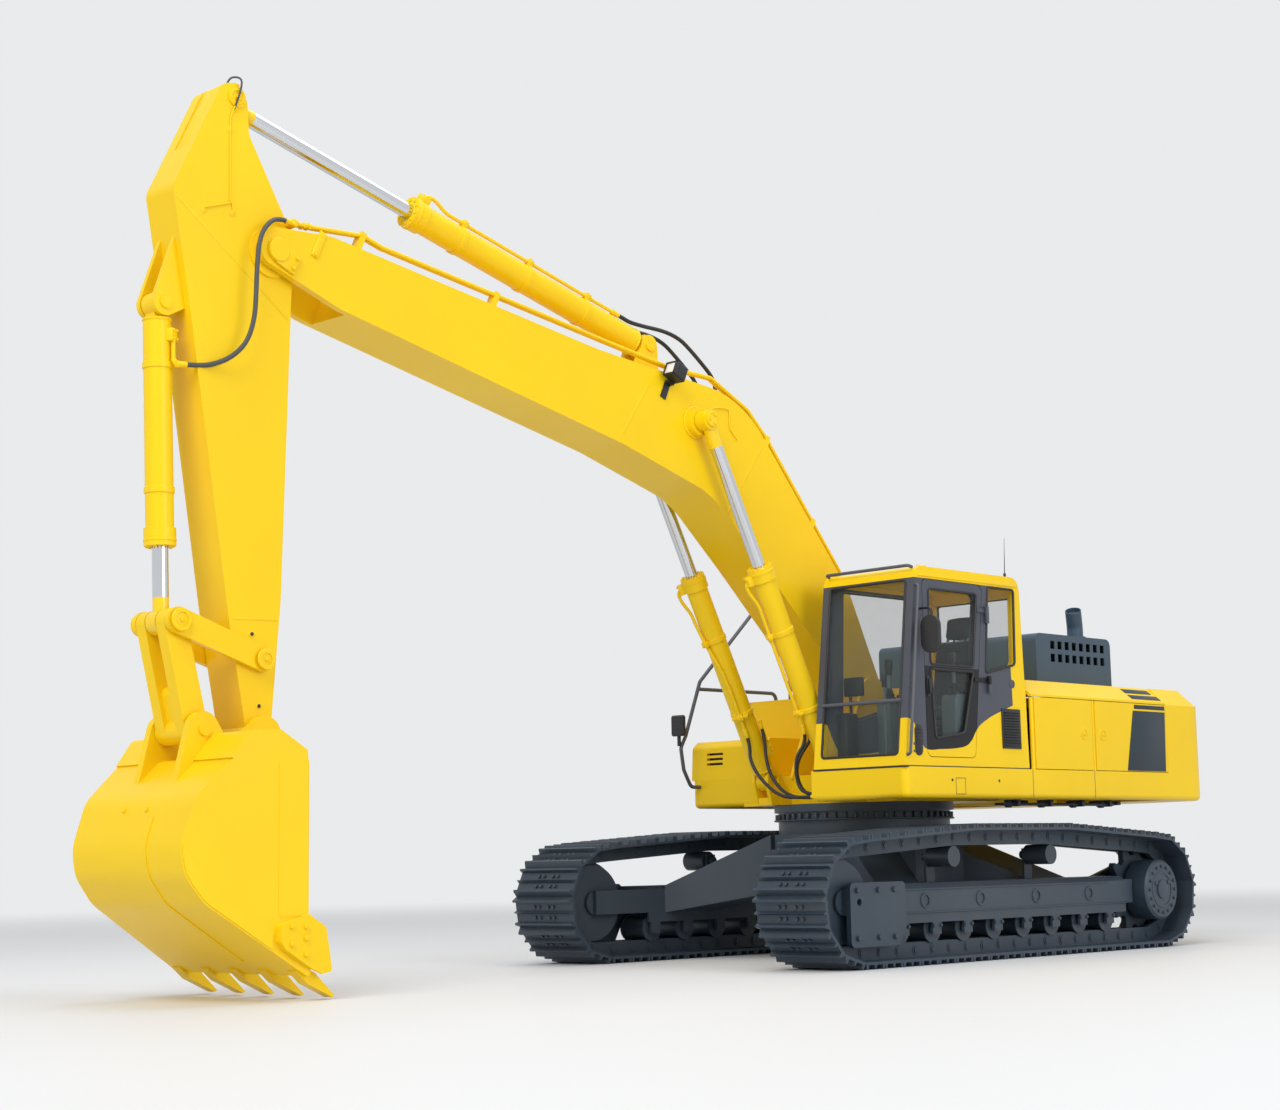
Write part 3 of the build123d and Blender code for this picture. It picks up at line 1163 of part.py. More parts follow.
def bucket_outline(inset):
    """Bucket side view from the bucket pin; the mouth faces back to the machine."""
    t, back = inset, BUCKET_DEPTH
    return outline(
        (10, -190 - t), (540 - t / 3, -165 - t, 80), (back - 122 - 0.85 * t, -429 - 0.6 * t, 220),
        (back - 14 - t, -741, 300), (back - 45 - 0.9 * t, -925 + 0.5 * t, 260),
        (back - 183 - 0.7 * t, -1107 + 0.75 * t, 300), (LIP[0] + 15, LIP[1] - 5 + 1.2 * t), (0, LIP[1] + 3 + t),
        (15, -1200),
    )


def bucket_crest():
    """Raised part of the bucket beside its ears, in side view."""
    return outline((15, -230), (20, -125), (221, 8, 50), (435, 0, 60), (575, -180), (480, -230))


def bucket_plan(inset):
    """Room between the bucket's tapering sides, over its whole height."""
    taper = (BUCKET_HALF - BUCKET_BACK_HALF) / BUCKET_DEPTH
    mouth, half = -BUCKET_HALF, BUCKET_HALF - inset
    plan = outline(
        (mouth, -half - taper * BUCKET_HALF), (BUCKET_DEPTH, -BUCKET_BACK_HALF + inset),
        (BUCKET_DEPTH, BUCKET_BACK_HALF - inset), (mouth, half + taper * BUCKET_HALF))
    return Pos(BUCKET_PIN[0], 0, BUCKET_PIN[1]) * extrude(plan, 3 * BUCKET_HALF, both=True)


def bucket_block(inset, shift=0):
    """Bucket body between its sides, moved inwards and along."""
    wide = 1.2 * BUCKET_HALF
    return Pos(shift, 0, 0) * slab(bucket_outline(inset), -wide, wide, BUCKET_PLANE) & bucket_plan(inset)


def bucket_ear():
    """One ear in side view: bosses round both pins on a foot along the bucket's back."""
    boss = rib(disc((0, 0), 128), Pos(200, -180) * Rectangle(330, 60))
    link = rib(disc(BUCKET_LINK_PIN, 118), outline((300, -230), (300, -60), (690, -300), (720, -360)))
    return boss + link


def bucket():
    """Bucket shell with its raised sides and the ears for its pins."""
    wide = 1.2 * BUCKET_HALF
    crest = slab(bucket_crest(), EAR_INNER, wide, BUCKET_PLANE) & bucket_plan(0)
    ear = slab(bucket_ear(), EAR_INNER, EAR_INNER + EAR_THICKNESS, BUCKET_PLANE)
    shell = bucket_block(0) + twin(crest) + twin(ear)
    for step in range(3):
        shell -= bucket_block(BUCKET_PLATE, -4 * BUCKET_PLATE * step)
    for point, radius in (((0, 0), LINK_PIN + 5), (BUCKET_LINK_PIN, LINK_PIN)):
        shell -= slab(disc(point, radius), -2 * EAR_INNER, 2 * EAR_INNER, BUCKET_PLANE)
    return shell


def bucket_teeth():
    """Teeth on adapters along the lip, in line with the bucket's floor."""
    points = [(-80, 22), (40, 40), (266, 10), (272, -8), (60, -48), (-80, -40)]
    tooth = outline(*[place(LIP, FLOOR_ANGLE, point) for point in points])
    return group(*[
        slab(tooth, y - TOOTH_HALF, y + TOOTH_HALF, BUCKET_PLANE) - bucket_block(0)
        for y in spread(BUCKET_TEETH, TOOTH_SPREAD)
    ])


def side_cutters():
    """Cutting plates on the bucket's sides."""
    plate = outline(
        (33, -1191), (-105, -1279, 30), (-154, -1565, 20), (-72, -1580), (20, -1538), (220, -1412, 40),
        (257, -1360, 40), (255, -1250, 40))
    blank = slab(plate, BUCKET_BACK_HALF, BUCKET_HALF + BUCKET_PLATE, BUCKET_PLANE)
    return pair(blank - bucket_plan(0))


def bucket_pins():
    """Bucket link pin through the ears."""
    reach = EAR_INNER + EAR_THICKNESS + 18
    return slab(disc(BUCKET_LINK_PIN, LINK_PIN - RUN_GAP), -reach, reach, BUCKET_PLANE)


LINK_OUTER = EAR_INNER + 26.0
LINK_INNER = ARM_HALF + SIDE_GAP + 2


def side_links():
    """Two side links from the arm to the bucket cylinder's rod end, with their pin heads."""
    plate = rib(disc(SIDE_LINK_FOOT, 82), disc(LINK_HEAD, 88)) - disc(SIDE_LINK_FOOT, LINK_PIN)
    link = slab(plate, LINK_INNER, LINK_OUTER)
    link += slab(disc(LINK_HEAD, 62), LINK_OUTER, LINK_OUTER + 20)
    return pair(link)


def bucket_link():
    """Forked bucket link between the rod end and the bucket's ears."""
    inner = BUCKET_CYLINDER["width"] / 2 + 2 * SIDE_GAP
    outer = LINK_INNER - SIDE_GAP
    arm_plate = slab(rib(disc(LINK_HEAD, 86), disc(LINK_FOOT, 92)), inner, outer)
    link = twin(arm_plate)
    wide = EAR_INNER - SIDE_GAP
    link += slab(disc(LINK_FOOT, 92), -wide, wide)
    middle = ((LINK_HEAD[0] + 2 * LINK_FOOT[0]) / 3, (LINK_HEAD[1] + 2 * LINK_FOOT[1]) / 3)
    link += slab(rib(disc(middle, 60), disc(LINK_FOOT, 60)), -inner, inner)
    return link - slab(disc(LINK_FOOT, LINK_PIN), -2 * wide, 2 * wide)


# Cylinders

def cylinder_parts(size, foot, head, y, cap=0):
    """Barrel and rod of a cylinder between two pin centres in side view."""
    length = hypot(head[0] - foot[0], head[1] - foot[1])
    plane = side_plane(foot, degrees(atan2(head[1] - foot[1], head[0] - foot[0])))
    eye, half = size["eye"], size["width"] / 2
    rod_radius, bore, barrel = size["rod"], size["bore"], size["barrel"]
    closed = size["closed"] * length
    mouth = closed - ROD_HEAD
    start, wall = eye * 1.15, 60.0
    gland = 120.0
    slide = rod_radius + RUN_GAP
    face = outline(
        (start, 0), (start, barrel), (mouth - gland, barrel), (mouth - gland, size["gland"]),
        (mouth, size["gland"]), (mouth, slide), (mouth - gland, slide), (mouth - gland, bore),
        (start + wall, bore), (start + wall, 0))
    tube = revolve(face, Axis.X)
    neck = Pos(start / 2, 0, 0) * Box(start + wall / 4, 1.3 * eye, 2 * half)
    tube += Pos(0, 0, 0) * Cylinder(eye, 2 * half) + neck
    tube -= Cylinder(size["pin"], 4 * half)
    piston = length - closed + PISTON_BACK
    rod_face = outline(
        (piston, 0), (piston, bore - RUN_GAP), (piston + wall, bore - RUN_GAP), (piston + wall, rod_radius),
        (length - eye / 2, rod_radius), (length - eye / 2, 0))
    rod = revolve(rod_face, Axis.X) + Pos(length, 0, 0) * Cylinder(eye, 2 * half)
    if cap:
        rod += Pos(length, 0, -cap * (half + 9)) * Cylinder(eye * 0.75, 18)
    shift = Pos(0, y, 0)
    return shift * (plane.location * tube), shift * (plane.location * rod)


# Pieces by name

def excavator():
    """Every piece of the machine by its name."""
    parts = {}
    left_track = track()
    parts["track_left"] = left_track
    parts["track_right"] = mirror(left_track, about=Plane.XZ)
    parts["track_frames"] = pair(track_frame())
    parts["idler_guards"] = pair(idler_guard())
    parts["idlers"] = pair(idler())
    parts["sprockets"] = pair(sprocket())
    parts["track_rollers"] = group(*[pair(track_roller(x)) for x in spread(ROLLER_COUNT, ROLLER_SPAN)])
    parts["carrier_rollers"] = group(*[pair(carrier_roller(x)) for x in spread(2, CARRIER_SPACING)])
    parts["car_body"] = car_body()
    parts["swing_ring_lower"] = ring(RING_BASE, RING_SPLIT - RUN_GAP, RING_RADIUS)
    parts["swing_ring_upper"] = ring(RING_SPLIT, DECK_BOTTOM, RING_COLLAR)
    parts["revolving_frame"] = revolving_frame()
    parts["frame_pins"] = frame_pins()
    parts["counterweight"] = counterweight()
    parts["body_covers"] = body_covers()
    parts["engine_hood"] = engine_hood()
    parts["exhaust_pipe"] = exhaust_pipe()
    parts["left_door_front"] = side_door(1, DOOR_SPLIT, BULKHEAD)
    parts["left_door_rear"] = side_door(1, SEAM_COUNTERWEIGHT, DOOR_SPLIT)
    parts["right_door"] = side_door(-1, SEAM_COUNTERWEIGHT, DOOR_SPLIT)
    parts["engine_block"] = block(
        SEAM_COUNTERWEIGHT + ENGINE_GAP, DOOR_SPLIT - ENGINE_GAP, -ENGINE_WIDTH / 2, ENGINE_WIDTH / 2,
        DECK_TOP, DECK_TOP + ENGINE_HEIGHT)
    parts["hydraulic_tank"] = tank(DOOR_SPLIT, TANK_SPLIT)
    parts["fuel_tank"] = tank(TANK_SPLIT, TANK_FRONT)
    parts["tool_box"] = tool_box()
    parts["handrails"] = handrails()
    parts["mirrors"] = mirrors()
    parts.update(cab_panels())
    parts["cab_glass"] = cab_glass()
    parts["cab_door"] = cab_door()
    parts["cab_door_glass"] = cab_door_glass()
    parts["seat"] = seat()
    parts["consoles"] = consoles()
    parts["boom"] = boom()
    parts["boom_pins"] = boom_pins()
    parts["work_lamp"] = work_lamp()
    parts["boom_pipes"] = boom_pipes()
    parts["arm"] = arm()
    parts["arm_pins"] = arm_pins()
    parts["bucket"] = bucket()
    parts["bucket_teeth"] = bucket_teeth()
    parts["side_cutters"] = side_cutters()
    parts["bucket_pins"] = bucket_pins()
    parts["side_links"] = side_links()
    parts["bucket_link"] = bucket_link()
    for name, side in (("left", 1), ("right", -1)):
        tube, rod = cylinder_parts(BOOM_CYLINDER, BOOM_CYLINDER_FOOT, LIFT_PIN, side * BOOM_CYLINDER_Y, side)
        parts[f"boom_cylinder_{name}"] = tube
        parts[f"boom_rod_{name}"] = rod
    pins = ARM_CYLINDER_FOOT, ARM_CYLINDER_HEAD
    parts["arm_cylinder"], parts["arm_rod"] = cylinder_parts(ARM_CYLINDER, *pins, 0)
    pins = BUCKET_CYLINDER_FOOT, LINK_HEAD
    parts["bucket_cylinder"], parts["bucket_rod"] = cylinder_parts(BUCKET_CYLINDER, *pins, 0)
    return parts


os.makedirs("parts", exist_ok=True)
for name, shape in excavator().items():
    export_step(shape, f"parts/{name}.step")
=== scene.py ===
"""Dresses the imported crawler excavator: paint, fittings, pipes, hoses, cab trim and a plain studio."""

from __future__ import annotations

import json
import logging
import math
from dataclasses import dataclass, field, replace
from enum import Enum
from itertools import product
from typing import Sequence

import bmesh
import bpy
from mathutils import Matrix, Vector

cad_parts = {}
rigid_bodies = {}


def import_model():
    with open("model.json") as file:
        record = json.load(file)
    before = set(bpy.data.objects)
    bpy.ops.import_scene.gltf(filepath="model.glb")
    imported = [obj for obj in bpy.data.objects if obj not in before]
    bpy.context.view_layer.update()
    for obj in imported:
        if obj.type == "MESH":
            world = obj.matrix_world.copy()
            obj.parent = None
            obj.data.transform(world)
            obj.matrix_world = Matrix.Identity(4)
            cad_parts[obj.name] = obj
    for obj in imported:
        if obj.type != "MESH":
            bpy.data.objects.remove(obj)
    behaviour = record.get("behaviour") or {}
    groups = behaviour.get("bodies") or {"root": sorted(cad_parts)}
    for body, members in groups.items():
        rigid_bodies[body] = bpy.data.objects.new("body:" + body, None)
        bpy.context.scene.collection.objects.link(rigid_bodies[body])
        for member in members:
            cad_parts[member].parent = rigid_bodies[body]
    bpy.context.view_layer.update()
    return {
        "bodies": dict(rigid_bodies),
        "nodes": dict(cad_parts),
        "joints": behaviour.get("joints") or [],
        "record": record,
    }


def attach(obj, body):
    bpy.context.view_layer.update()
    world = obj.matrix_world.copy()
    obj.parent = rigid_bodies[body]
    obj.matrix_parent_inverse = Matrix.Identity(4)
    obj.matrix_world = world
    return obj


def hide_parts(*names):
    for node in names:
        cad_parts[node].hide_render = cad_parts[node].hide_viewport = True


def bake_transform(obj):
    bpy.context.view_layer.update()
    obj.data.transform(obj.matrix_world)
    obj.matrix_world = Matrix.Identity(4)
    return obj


LOG = logging.getLogger("excavator")
Flat = tuple[float, float]
Point = tuple[float, float, float]
Color = tuple[float, float, float]
Place = Sequence[float]
Tree = bpy.types.NodeTree
Node = bpy.types.Node
Socket = bpy.types.NodeSocket
LEFT = Vector((0.0, 1.0, 0.0))
UP = Vector((0.0, 0.0, 1.0))
MIX_FACTOR, MIX_A, MIX_B, MIX_RESULT = 0, 6, 7, 2  # colour sockets of a Mix node
TONE_LOW, TONE_HIGH = 0.42, 0.78  # noise values between which the second tone comes in
SMUDGES_PER_PATCH = 5.0  # how much finer the gloss wanders than the colour
BUMP_STRENGTH = 0.35
COAT_ROUGHNESS = 0.12
LEAST_ROUGHNESS = 0.02
FAR_ABOVE = 10.0  # higher than the machine reaches


# Finishes


class Pattern(Enum):
    """Surface detail that a coating carries."""

    PLAIN = "plain"
    WEAVE = "weave"
    TWO_TONE = "two tone"
    SLEEVE = "painted head"
    DOOR = "two tone with a black lower half"


@dataclass(frozen=True)
class Coating:
    """One procedural finish.

    Attributes:
        name: Material name.
        color: Main colour.
        shade: Second tone that patches and dust lean to.
        roughness: Middle roughness.
        spread: How far roughness wanders.
        metallic: Metal share.
        coat: Clear-coat weight.
        tone_scale: Size of the colour patches, per metre.
        grain_scale: Size of the fine bump, per metre.
        grain_depth: Height of the fine bump.
        alpha: Opacity.
        pattern: Extra surface detail.
        specular: Strength of the surface's plain reflection.
        second: Colour above the waistline of a two-tone panel, or of a rod's head.
        sleeve: Point and direction beyond which a rod's head is painted.
    """

    name: str
    color: Color
    shade: Color
    roughness: float = 0.4
    spread: float = 0.08
    metallic: float = 0.0
    coat: float = 0.0
    tone_scale: float = 0.7
    grain_scale: float = 160.0
    grain_depth: float = 0.015
    alpha: float = 1.0
    pattern: Pattern = Pattern.PLAIN
    second: Color = (0.0, 0.0, 0.0)
    specular: float = 0.5
    sleeve: tuple[Point, Point] = ((0.0, 0.0, 0.0), (0.0, 0.0, 1.0))

    def material(self) -> bpy.types.Material:
        """Returns the material, built on first use.

        Returns:
            The node material.
        """
        known = bpy.data.materials.get(self.name)
        if known is not None:
            return known
        made = bpy.data.materials.new(self.name)
        made.use_nodes = True
        tree = made.node_tree
        shader = tree.nodes["Principled BSDF"]
        place = tree.nodes.new("ShaderNodeTexCoord")
        patches = self._noise(tree, place, self.tone_scale, 4.0)
        tone = tree.nodes.new("ShaderNodeMix")
        tone.data_type = "RGBA"
        tone.inputs[MIX_A].default_value = (*self.color, 1.0)
        tone.inputs[MIX_B].default_value = (*self.shade, 1.0)
        tree.links.new(self._ramp(tree, patches, TONE_LOW, TONE_HIGH), tone.inputs[MIX_FACTOR])
        color = tone.outputs[MIX_RESULT]
        shader.inputs["Metallic"].default_value = self.metallic
        shader.inputs["Specular IOR Level"].default_value = self.specular
        if self.pattern in (Pattern.TWO_TONE, Pattern.DOOR):
            color = self._over(tree, color, self.second, self._above_waist(tree, place))
        if self.pattern is Pattern.DOOR:
            color = self._over(tree, color, PAINT_BLACK, self._above_waist(tree, place, WAIST.door_top))
        if self.pattern is Pattern.SLEEVE:
            head = self._beyond(tree, place)
            color = self._over(tree, color, self.second, head)
            tree.links.new(self._math(tree, "SUBTRACT", 1.0, head), shader.inputs["Metallic"])
        tree.links.new(color, shader.inputs["Base Color"])
        smudges = self._noise(tree, place, SMUDGES_PER_PATCH * self.tone_scale, 6.0)
        wander = tree.nodes.new("ShaderNodeMapRange")
        wander.inputs["To Min"].default_value = max(self.roughness - self.spread, LEAST_ROUGHNESS)
        wander.inputs["To Max"].default_value = self.roughness + self.spread
        tree.links.new(smudges, wander.inputs["Value"])
        tree.links.new(wander.outputs["Result"], shader.inputs["Roughness"])
        bump = tree.nodes.new("ShaderNodeBump")
        bump.inputs["Strength"].default_value = BUMP_STRENGTH
        bump.inputs["Distance"].default_value = self.grain_depth
        if self.pattern is Pattern.WEAVE:
            height = self._weave(tree, place)
        else:
            height = self._noise(tree, place, self.grain_scale, 2.0)
        tree.links.new(height, bump.inputs["Height"])
        tree.links.new(bump.outputs["Normal"], shader.inputs["Normal"])
        shader.inputs["Coat Weight"].default_value = self.coat
        shader.inputs["Coat Roughness"].default_value = COAT_ROUGHNESS
        shader.inputs["Alpha"].default_value = self.alpha
        made.diffuse_color = (*self.color, self.alpha)
        return made

    @staticmethod
    def _noise(tree: Tree, place: Node, scale: float, detail: float) -> Socket:
        """Adds a noise on Object coordinates.

        Args:
            tree: Node tree to add to.
            place: Texture Coordinate node.
            scale: Noise scale, per metre.
            detail: Octaves.

        Returns:
            The noise's value socket.
        """
        noise = tree.nodes.new("ShaderNodeTexNoise")
        noise.inputs["Scale"].default_value = scale
        noise.inputs["Detail"].default_value = detail
        tree.links.new(place.outputs["Object"], noise.inputs["Vector"])
        return noise.outputs["Fac"]

    @staticmethod
    def _ramp(tree: Tree, value: Socket, low: float, high: float) -> Socket:
        """Stretches a value between two limits to 0 and 1.

        Args:
            tree: Node tree to add to.
            value: Socket to stretch.
            low: Value that becomes 0.
            high: Value that becomes 1.

        Returns:
            The stretched socket.
        """
        ramp = tree.nodes.new("ShaderNodeMapRange")
        ramp.inputs["From Min"].default_value = low
        ramp.inputs["From Max"].default_value = high
        tree.links.new(value, ramp.inputs["Value"])
        return ramp.outputs["Result"]

    def _weave(self, tree: Tree, place: Node) -> Socket:
        """Adds crossing threads.

        Args:
            tree: Node tree to add to.
            place: Texture Coordinate node.

        Returns:
            The weave's height socket.
        """
        heights = []
        for axis in ("X", "Z"):
            wave = tree.nodes.new("ShaderNodeTexWave")
            wave.bands_direction = axis
            wave.inputs["Scale"].default_value = self.grain_scale
            wave.inputs["Distortion"].default_value = 0.6
            tree.links.new(place.outputs["Object"], wave.inputs["Vector"])
            heights.append(wave.outputs["Fac"])
        return self._math(tree, "MAXIMUM", *heights)

    @staticmethod
    def _math(tree: Tree, operation: str, *values: Socket | float) -> Socket:
        """Adds one sum.

        Args:
            tree: Node tree to add to.
            operation: Math node operation.
            values: Sockets or plain numbers, in order.

        Returns:
            The result's socket.
        """
        node = tree.nodes.new("ShaderNodeMath")
        node.operation = operation
        for slot, value in zip(node.inputs, values):
            if isinstance(value, Socket):
                tree.links.new(value, slot)
            else:
                slot.default_value = value
        return node.outputs["Value"]

    @staticmethod
    def _over(tree: Tree, under: Socket, upper: Color, mask: Socket) -> Socket:
        """Lays a colour over another where a mask is 1.

        Args:
            tree: Node tree to add to.
            under: Colour where the mask is 0.
            upper: Colour where it is 1.
            mask: Mask socket.

        Returns:
            The colour socket.
        """
        tone = tree.nodes.new("ShaderNodeMix")
        tone.data_type = "RGBA"
        tone.inputs[MIX_B].default_value = (*upper, 1.0)
        tree.links.new(under, tone.inputs[MIX_A])
        tree.links.new(mask, tone.inputs[MIX_FACTOR])
        return tone.outputs[MIX_RESULT]

    def _beyond(self, tree: Tree, place: Node) -> Socket:
        """Returns a mask of what lies beyond the sleeve's start.

        Args:
            tree: Node tree to add to.
            place: Texture Coordinate node.

        Returns:
            The mask socket.
        """
        start, aim = self.sleeve
        along = tree.nodes.new("ShaderNodeVectorMath")
        along.operation = "DOT_PRODUCT"
        along.inputs[1].default_value = aim
        tree.links.new(place.outputs["Object"], along.inputs[0])
        return self._math(tree, "GREATER_THAN", along.outputs["Value"], Vector(start).dot(Vector(aim)))

    def _above_waist(self, tree: Tree, place: Node, ceiling: float = FAR_ABOVE) -> Socket:
        """Returns a mask of what stands above the cab's waistline and ahead of its rear pillar.

        Args:
            tree: Node tree to add to.
            place: Texture Coordinate node.
            ceiling: Height that the mask ends at.

        Returns:
            The mask socket.
        """
        split = tree.nodes.new("ShaderNodeSeparateXYZ")
        tree.links.new(place.outputs["Object"], split.inputs["Vector"])
        x, z = split.outputs["X"], split.outputs["Z"]
        (rear, _), (front, _) = WAIST.points[0], WAIST.points[-1]
        line = tree.nodes.new("ShaderNodeFloatCurve")
        tree.links.new(self._ramp(tree, x, rear, front), line.inputs["Value"])
        curve = line.mapping.curves[0]
        height = WAIST.high - WAIST.low
        shares = [((px - rear) / (front - rear), (pz - WAIST.low) / height) for px, pz in WAIST.points]
        curve.points[0].location = shares[0]
        curve.points[1].location = shares[-1]
        for share in shares[1:-1]:
            curve.points.new(*share)
        line.mapping.update()
        level = self._math(tree, "MULTIPLY_ADD", line.outputs["Value"], height, WAIST.low)
        above = self._math(tree, "GREATER_THAN", z, level)
        leaning = self._math(tree, "MULTIPLY_ADD", z, WAIST.lean, x)
        ahead = self._math(tree, "GREATER_THAN", leaning, WAIST.pillar)
        under = self._math(tree, "LESS_THAN", z, ceiling)
        return self._math(tree, "MULTIPLY", self._math(tree, "MULTIPLY", above, ahead), under)


@dataclass(frozen=True)
class Waistline:
    """Where the cab's yellow ends, in side view.

    Attributes:
        points: Points (x, z) of the line, from the rear to the front.
        low: Height that the line's curve starts from.
        high: Height that it reaches at most.
        lean: How the rear pillar leans.
        pillar: Where the rear pillar's yellow ends, in x plus the lean times z.
        door_top: Where the door's black lower half ends.
    """

    points: tuple[Flat, ...] = (
        (-0.45, 2.19), (-0.32, 2.145), (0.23, 1.945), (0.31, 1.88), (0.38, 1.80), (0.46, 1.755),
        (0.58, 1.735), (0.80, 1.722), (1.00, 1.72), (1.06, 1.77), (1.12, 1.86), (1.185, 1.95), (1.30, 1.975))
    low: float = 1.60
    high: float = 2.30
    lean: float = -0.0361
    pillar: float = -0.3156
    door_top: float = 2.405


WAIST = Waistline()
CHROME_BRIGHT: Color = (0.66, 0.68, 0.7)
CHROME_DULL: Color = (0.6, 0.62, 0.64)
PAINT_YELLOW: Color = (0.93, 0.62, 0.006)
PAINT_SHADE: Color = (0.88, 0.56, 0.008)
PAINT_GREY: Color = (0.075, 0.081, 0.102)
PAINT_BLACK: Color = (0.012, 0.012, 0.014)


MACHINE_PAINT = Coating(
    "machine_yellow", PAINT_YELLOW, PAINT_SHADE, 0.36, coat=0.06, grain_depth=0.0006, specular=0.22)


class Finish(Enum):
    """Every finish on the machine."""

    YELLOW = MACHINE_PAINT
    TWO_TONE = replace(MACHINE_PAINT, name="cab_two_tone", pattern=Pattern.TWO_TONE, second=PAINT_GREY)
    DOOR = replace(MACHINE_PAINT, name="cab_door_paint", pattern=Pattern.DOOR, second=PAINT_GREY)
    DARK = Coating(
        "undercarriage_paint", (0.028, 0.045, 0.066), (0.045, 0.06, 0.076), 0.46, 0.12, coat=0.05,
        grain_depth=0.002)
    TRACK = Coating(
        "track_paint", (0.034, 0.053, 0.078), (0.06, 0.074, 0.088), 0.42, 0.14, metallic=0.25,
        grain_depth=0.003)
    HOOD = Coating(
        "hood_paint", (0.05, 0.082, 0.12), (0.058, 0.09, 0.125), 0.42, grain_depth=0.0008, specular=0.3)
    PANEL = Coating(
        "rear_panel_paint", (0.024, 0.037, 0.05), (0.03, 0.042, 0.055), 0.45, grain_depth=0.0008,
        specular=0.3)
    CAB = Coating("cab_frame_grey", PAINT_GREY, (0.09, 0.095, 0.11), 0.45, grain_depth=0.0008)
    BLACK = Coating("satin_black", PAINT_BLACK, (0.02, 0.02, 0.022), 0.5, grain_depth=0.0008)
    RUBBER = Coating(
        "hose_rubber", (0.014, 0.014, 0.015), (0.024, 0.024, 0.025), 0.55, grain_scale=420.0,
        grain_depth=0.001)
    GREY_HOSE = Coating(
        "sleeved_hose", (0.045, 0.05, 0.056), (0.07, 0.074, 0.08), 0.5, grain_scale=500.0, grain_depth=0.002)
    GLASS = Coating(
        "cab_glass_tint", (0.1, 0.13, 0.13), (0.1, 0.13, 0.13), 0.05, 0.02, alpha=0.13, grain_depth=0.0)
    LENS = Coating(
        "lamp_lens", (0.8, 0.82, 0.84), (0.72, 0.75, 0.78), 0.12, 0.04, coat=0.6, grain_scale=60.0,
        grain_depth=0.004)
    MIRROR = Coating(
        "mirror_glass", (0.8, 0.82, 0.84), (0.78, 0.8, 0.82), 0.05, 0.02, metallic=1.0, grain_depth=0.0)
    CLOTH = Coating(
        "seat_cloth", (0.02, 0.021, 0.025), (0.035, 0.036, 0.042), 0.85, grain_scale=300.0, grain_depth=0.004,
        pattern=Pattern.WEAVE)
    TRIM = Coating(
        "console_plastic", (0.11, 0.15, 0.16), (0.1, 0.135, 0.145), 0.55, grain_scale=380.0,
        grain_depth=0.002)
    IRON = Coating(
        "engine_casting", (0.09, 0.09, 0.095), (0.06, 0.06, 0.064), 0.6, 0.1, metallic=0.4, grain_depth=0.006)

    @property
    def material(self) -> bpy.types.Material:
        """The finish's material."""
        return self.value.material()


# Mesh work


def spread(count: int, low: float, high: float) -> list[float]:
    """Returns evenly spaced values from low to high."""
    return [low + (high - low) * index / (count - 1) for index in range(count)]


def circle(count: int) -> list[float]:
    """Returns evenly spaced angles round a full turn."""
    return [math.tau * index / count for index in range(count)]


def oval(half: float, ends: float, count: int) -> list[Flat]:
    """Returns an upright oval's outline.

    Args:
        half: Half its width, and the radius of its round ends.
        ends: Distance from its middle to the centre of an end.
        count: Points round it.

    Returns:
        Points (across, up) from its middle.
    """
    return [
        (half * math.cos(turn), half * math.sin(turn) + math.copysign(ends, math.sin(turn)))
        for turn in circle(count)]


def rounded(corners: Sequence[Point], steps: int = 3) -> list[Flat]:
    """Rounds the inner corners of an open line with arcs.

    Args:
        corners: Corners (x, z, radius), in order; the first and the last stay as they are.
        steps: Points on each arc.

    Returns:
        Points (x, z) of the line.
    """
    line = [corners[0][:2]]
    for before, here, after in zip(corners, corners[1:], corners[2:]):
        corner, radius = Vector(here[:2]), here[2]
        back, ahead = ((Vector(other[:2]) - corner).normalized() for other in (before, after))
        half = back.angle(ahead) / 2
        centre = corner + (back + ahead).normalized() * (radius / math.sin(half))
        first, last = (corner + aim * (radius / math.tan(half)) for aim in (back, ahead))
        chord = [first.lerp(last, share) for share in spread(steps, 0.0, 1.0)]
        line += [tuple(centre + (point - centre).normalized() * radius) for point in chord]
    return [*line, corners[-1][:2]]


def turned_axes(x: Vector, y: Vector, z: Vector) -> Matrix:
    """Returns the turn that takes the three axes to three directions."""
    return Matrix((x, y, z)).transposed().to_4x4()


def turn_up_to(axis: Place) -> Matrix:
    """Returns the turn that takes up to a direction."""
    return UP.rotation_difference(Vector(axis)).to_matrix().to_4x4()


def soften(
    part: bmesh.types.BMesh, width: float, segments: int = 2, edges: list[bmesh.types.BMEdge] | None = None
) -> None:
    """Rounds the edges of a part.

    Args:
        part: Mesh to round.
        width: Width of the rounding, or 0 for none.
        segments: Steps across it.
        edges: Edges to round, or None for all of them.
    """
    if width > 0:
        bmesh.ops.bevel(
            part, geom=edges or part.edges[:], offset=width, offset_type="OFFSET", affect="EDGES",
            segments=segments, profile=0.5, material=-1, clamp_overlap=True)


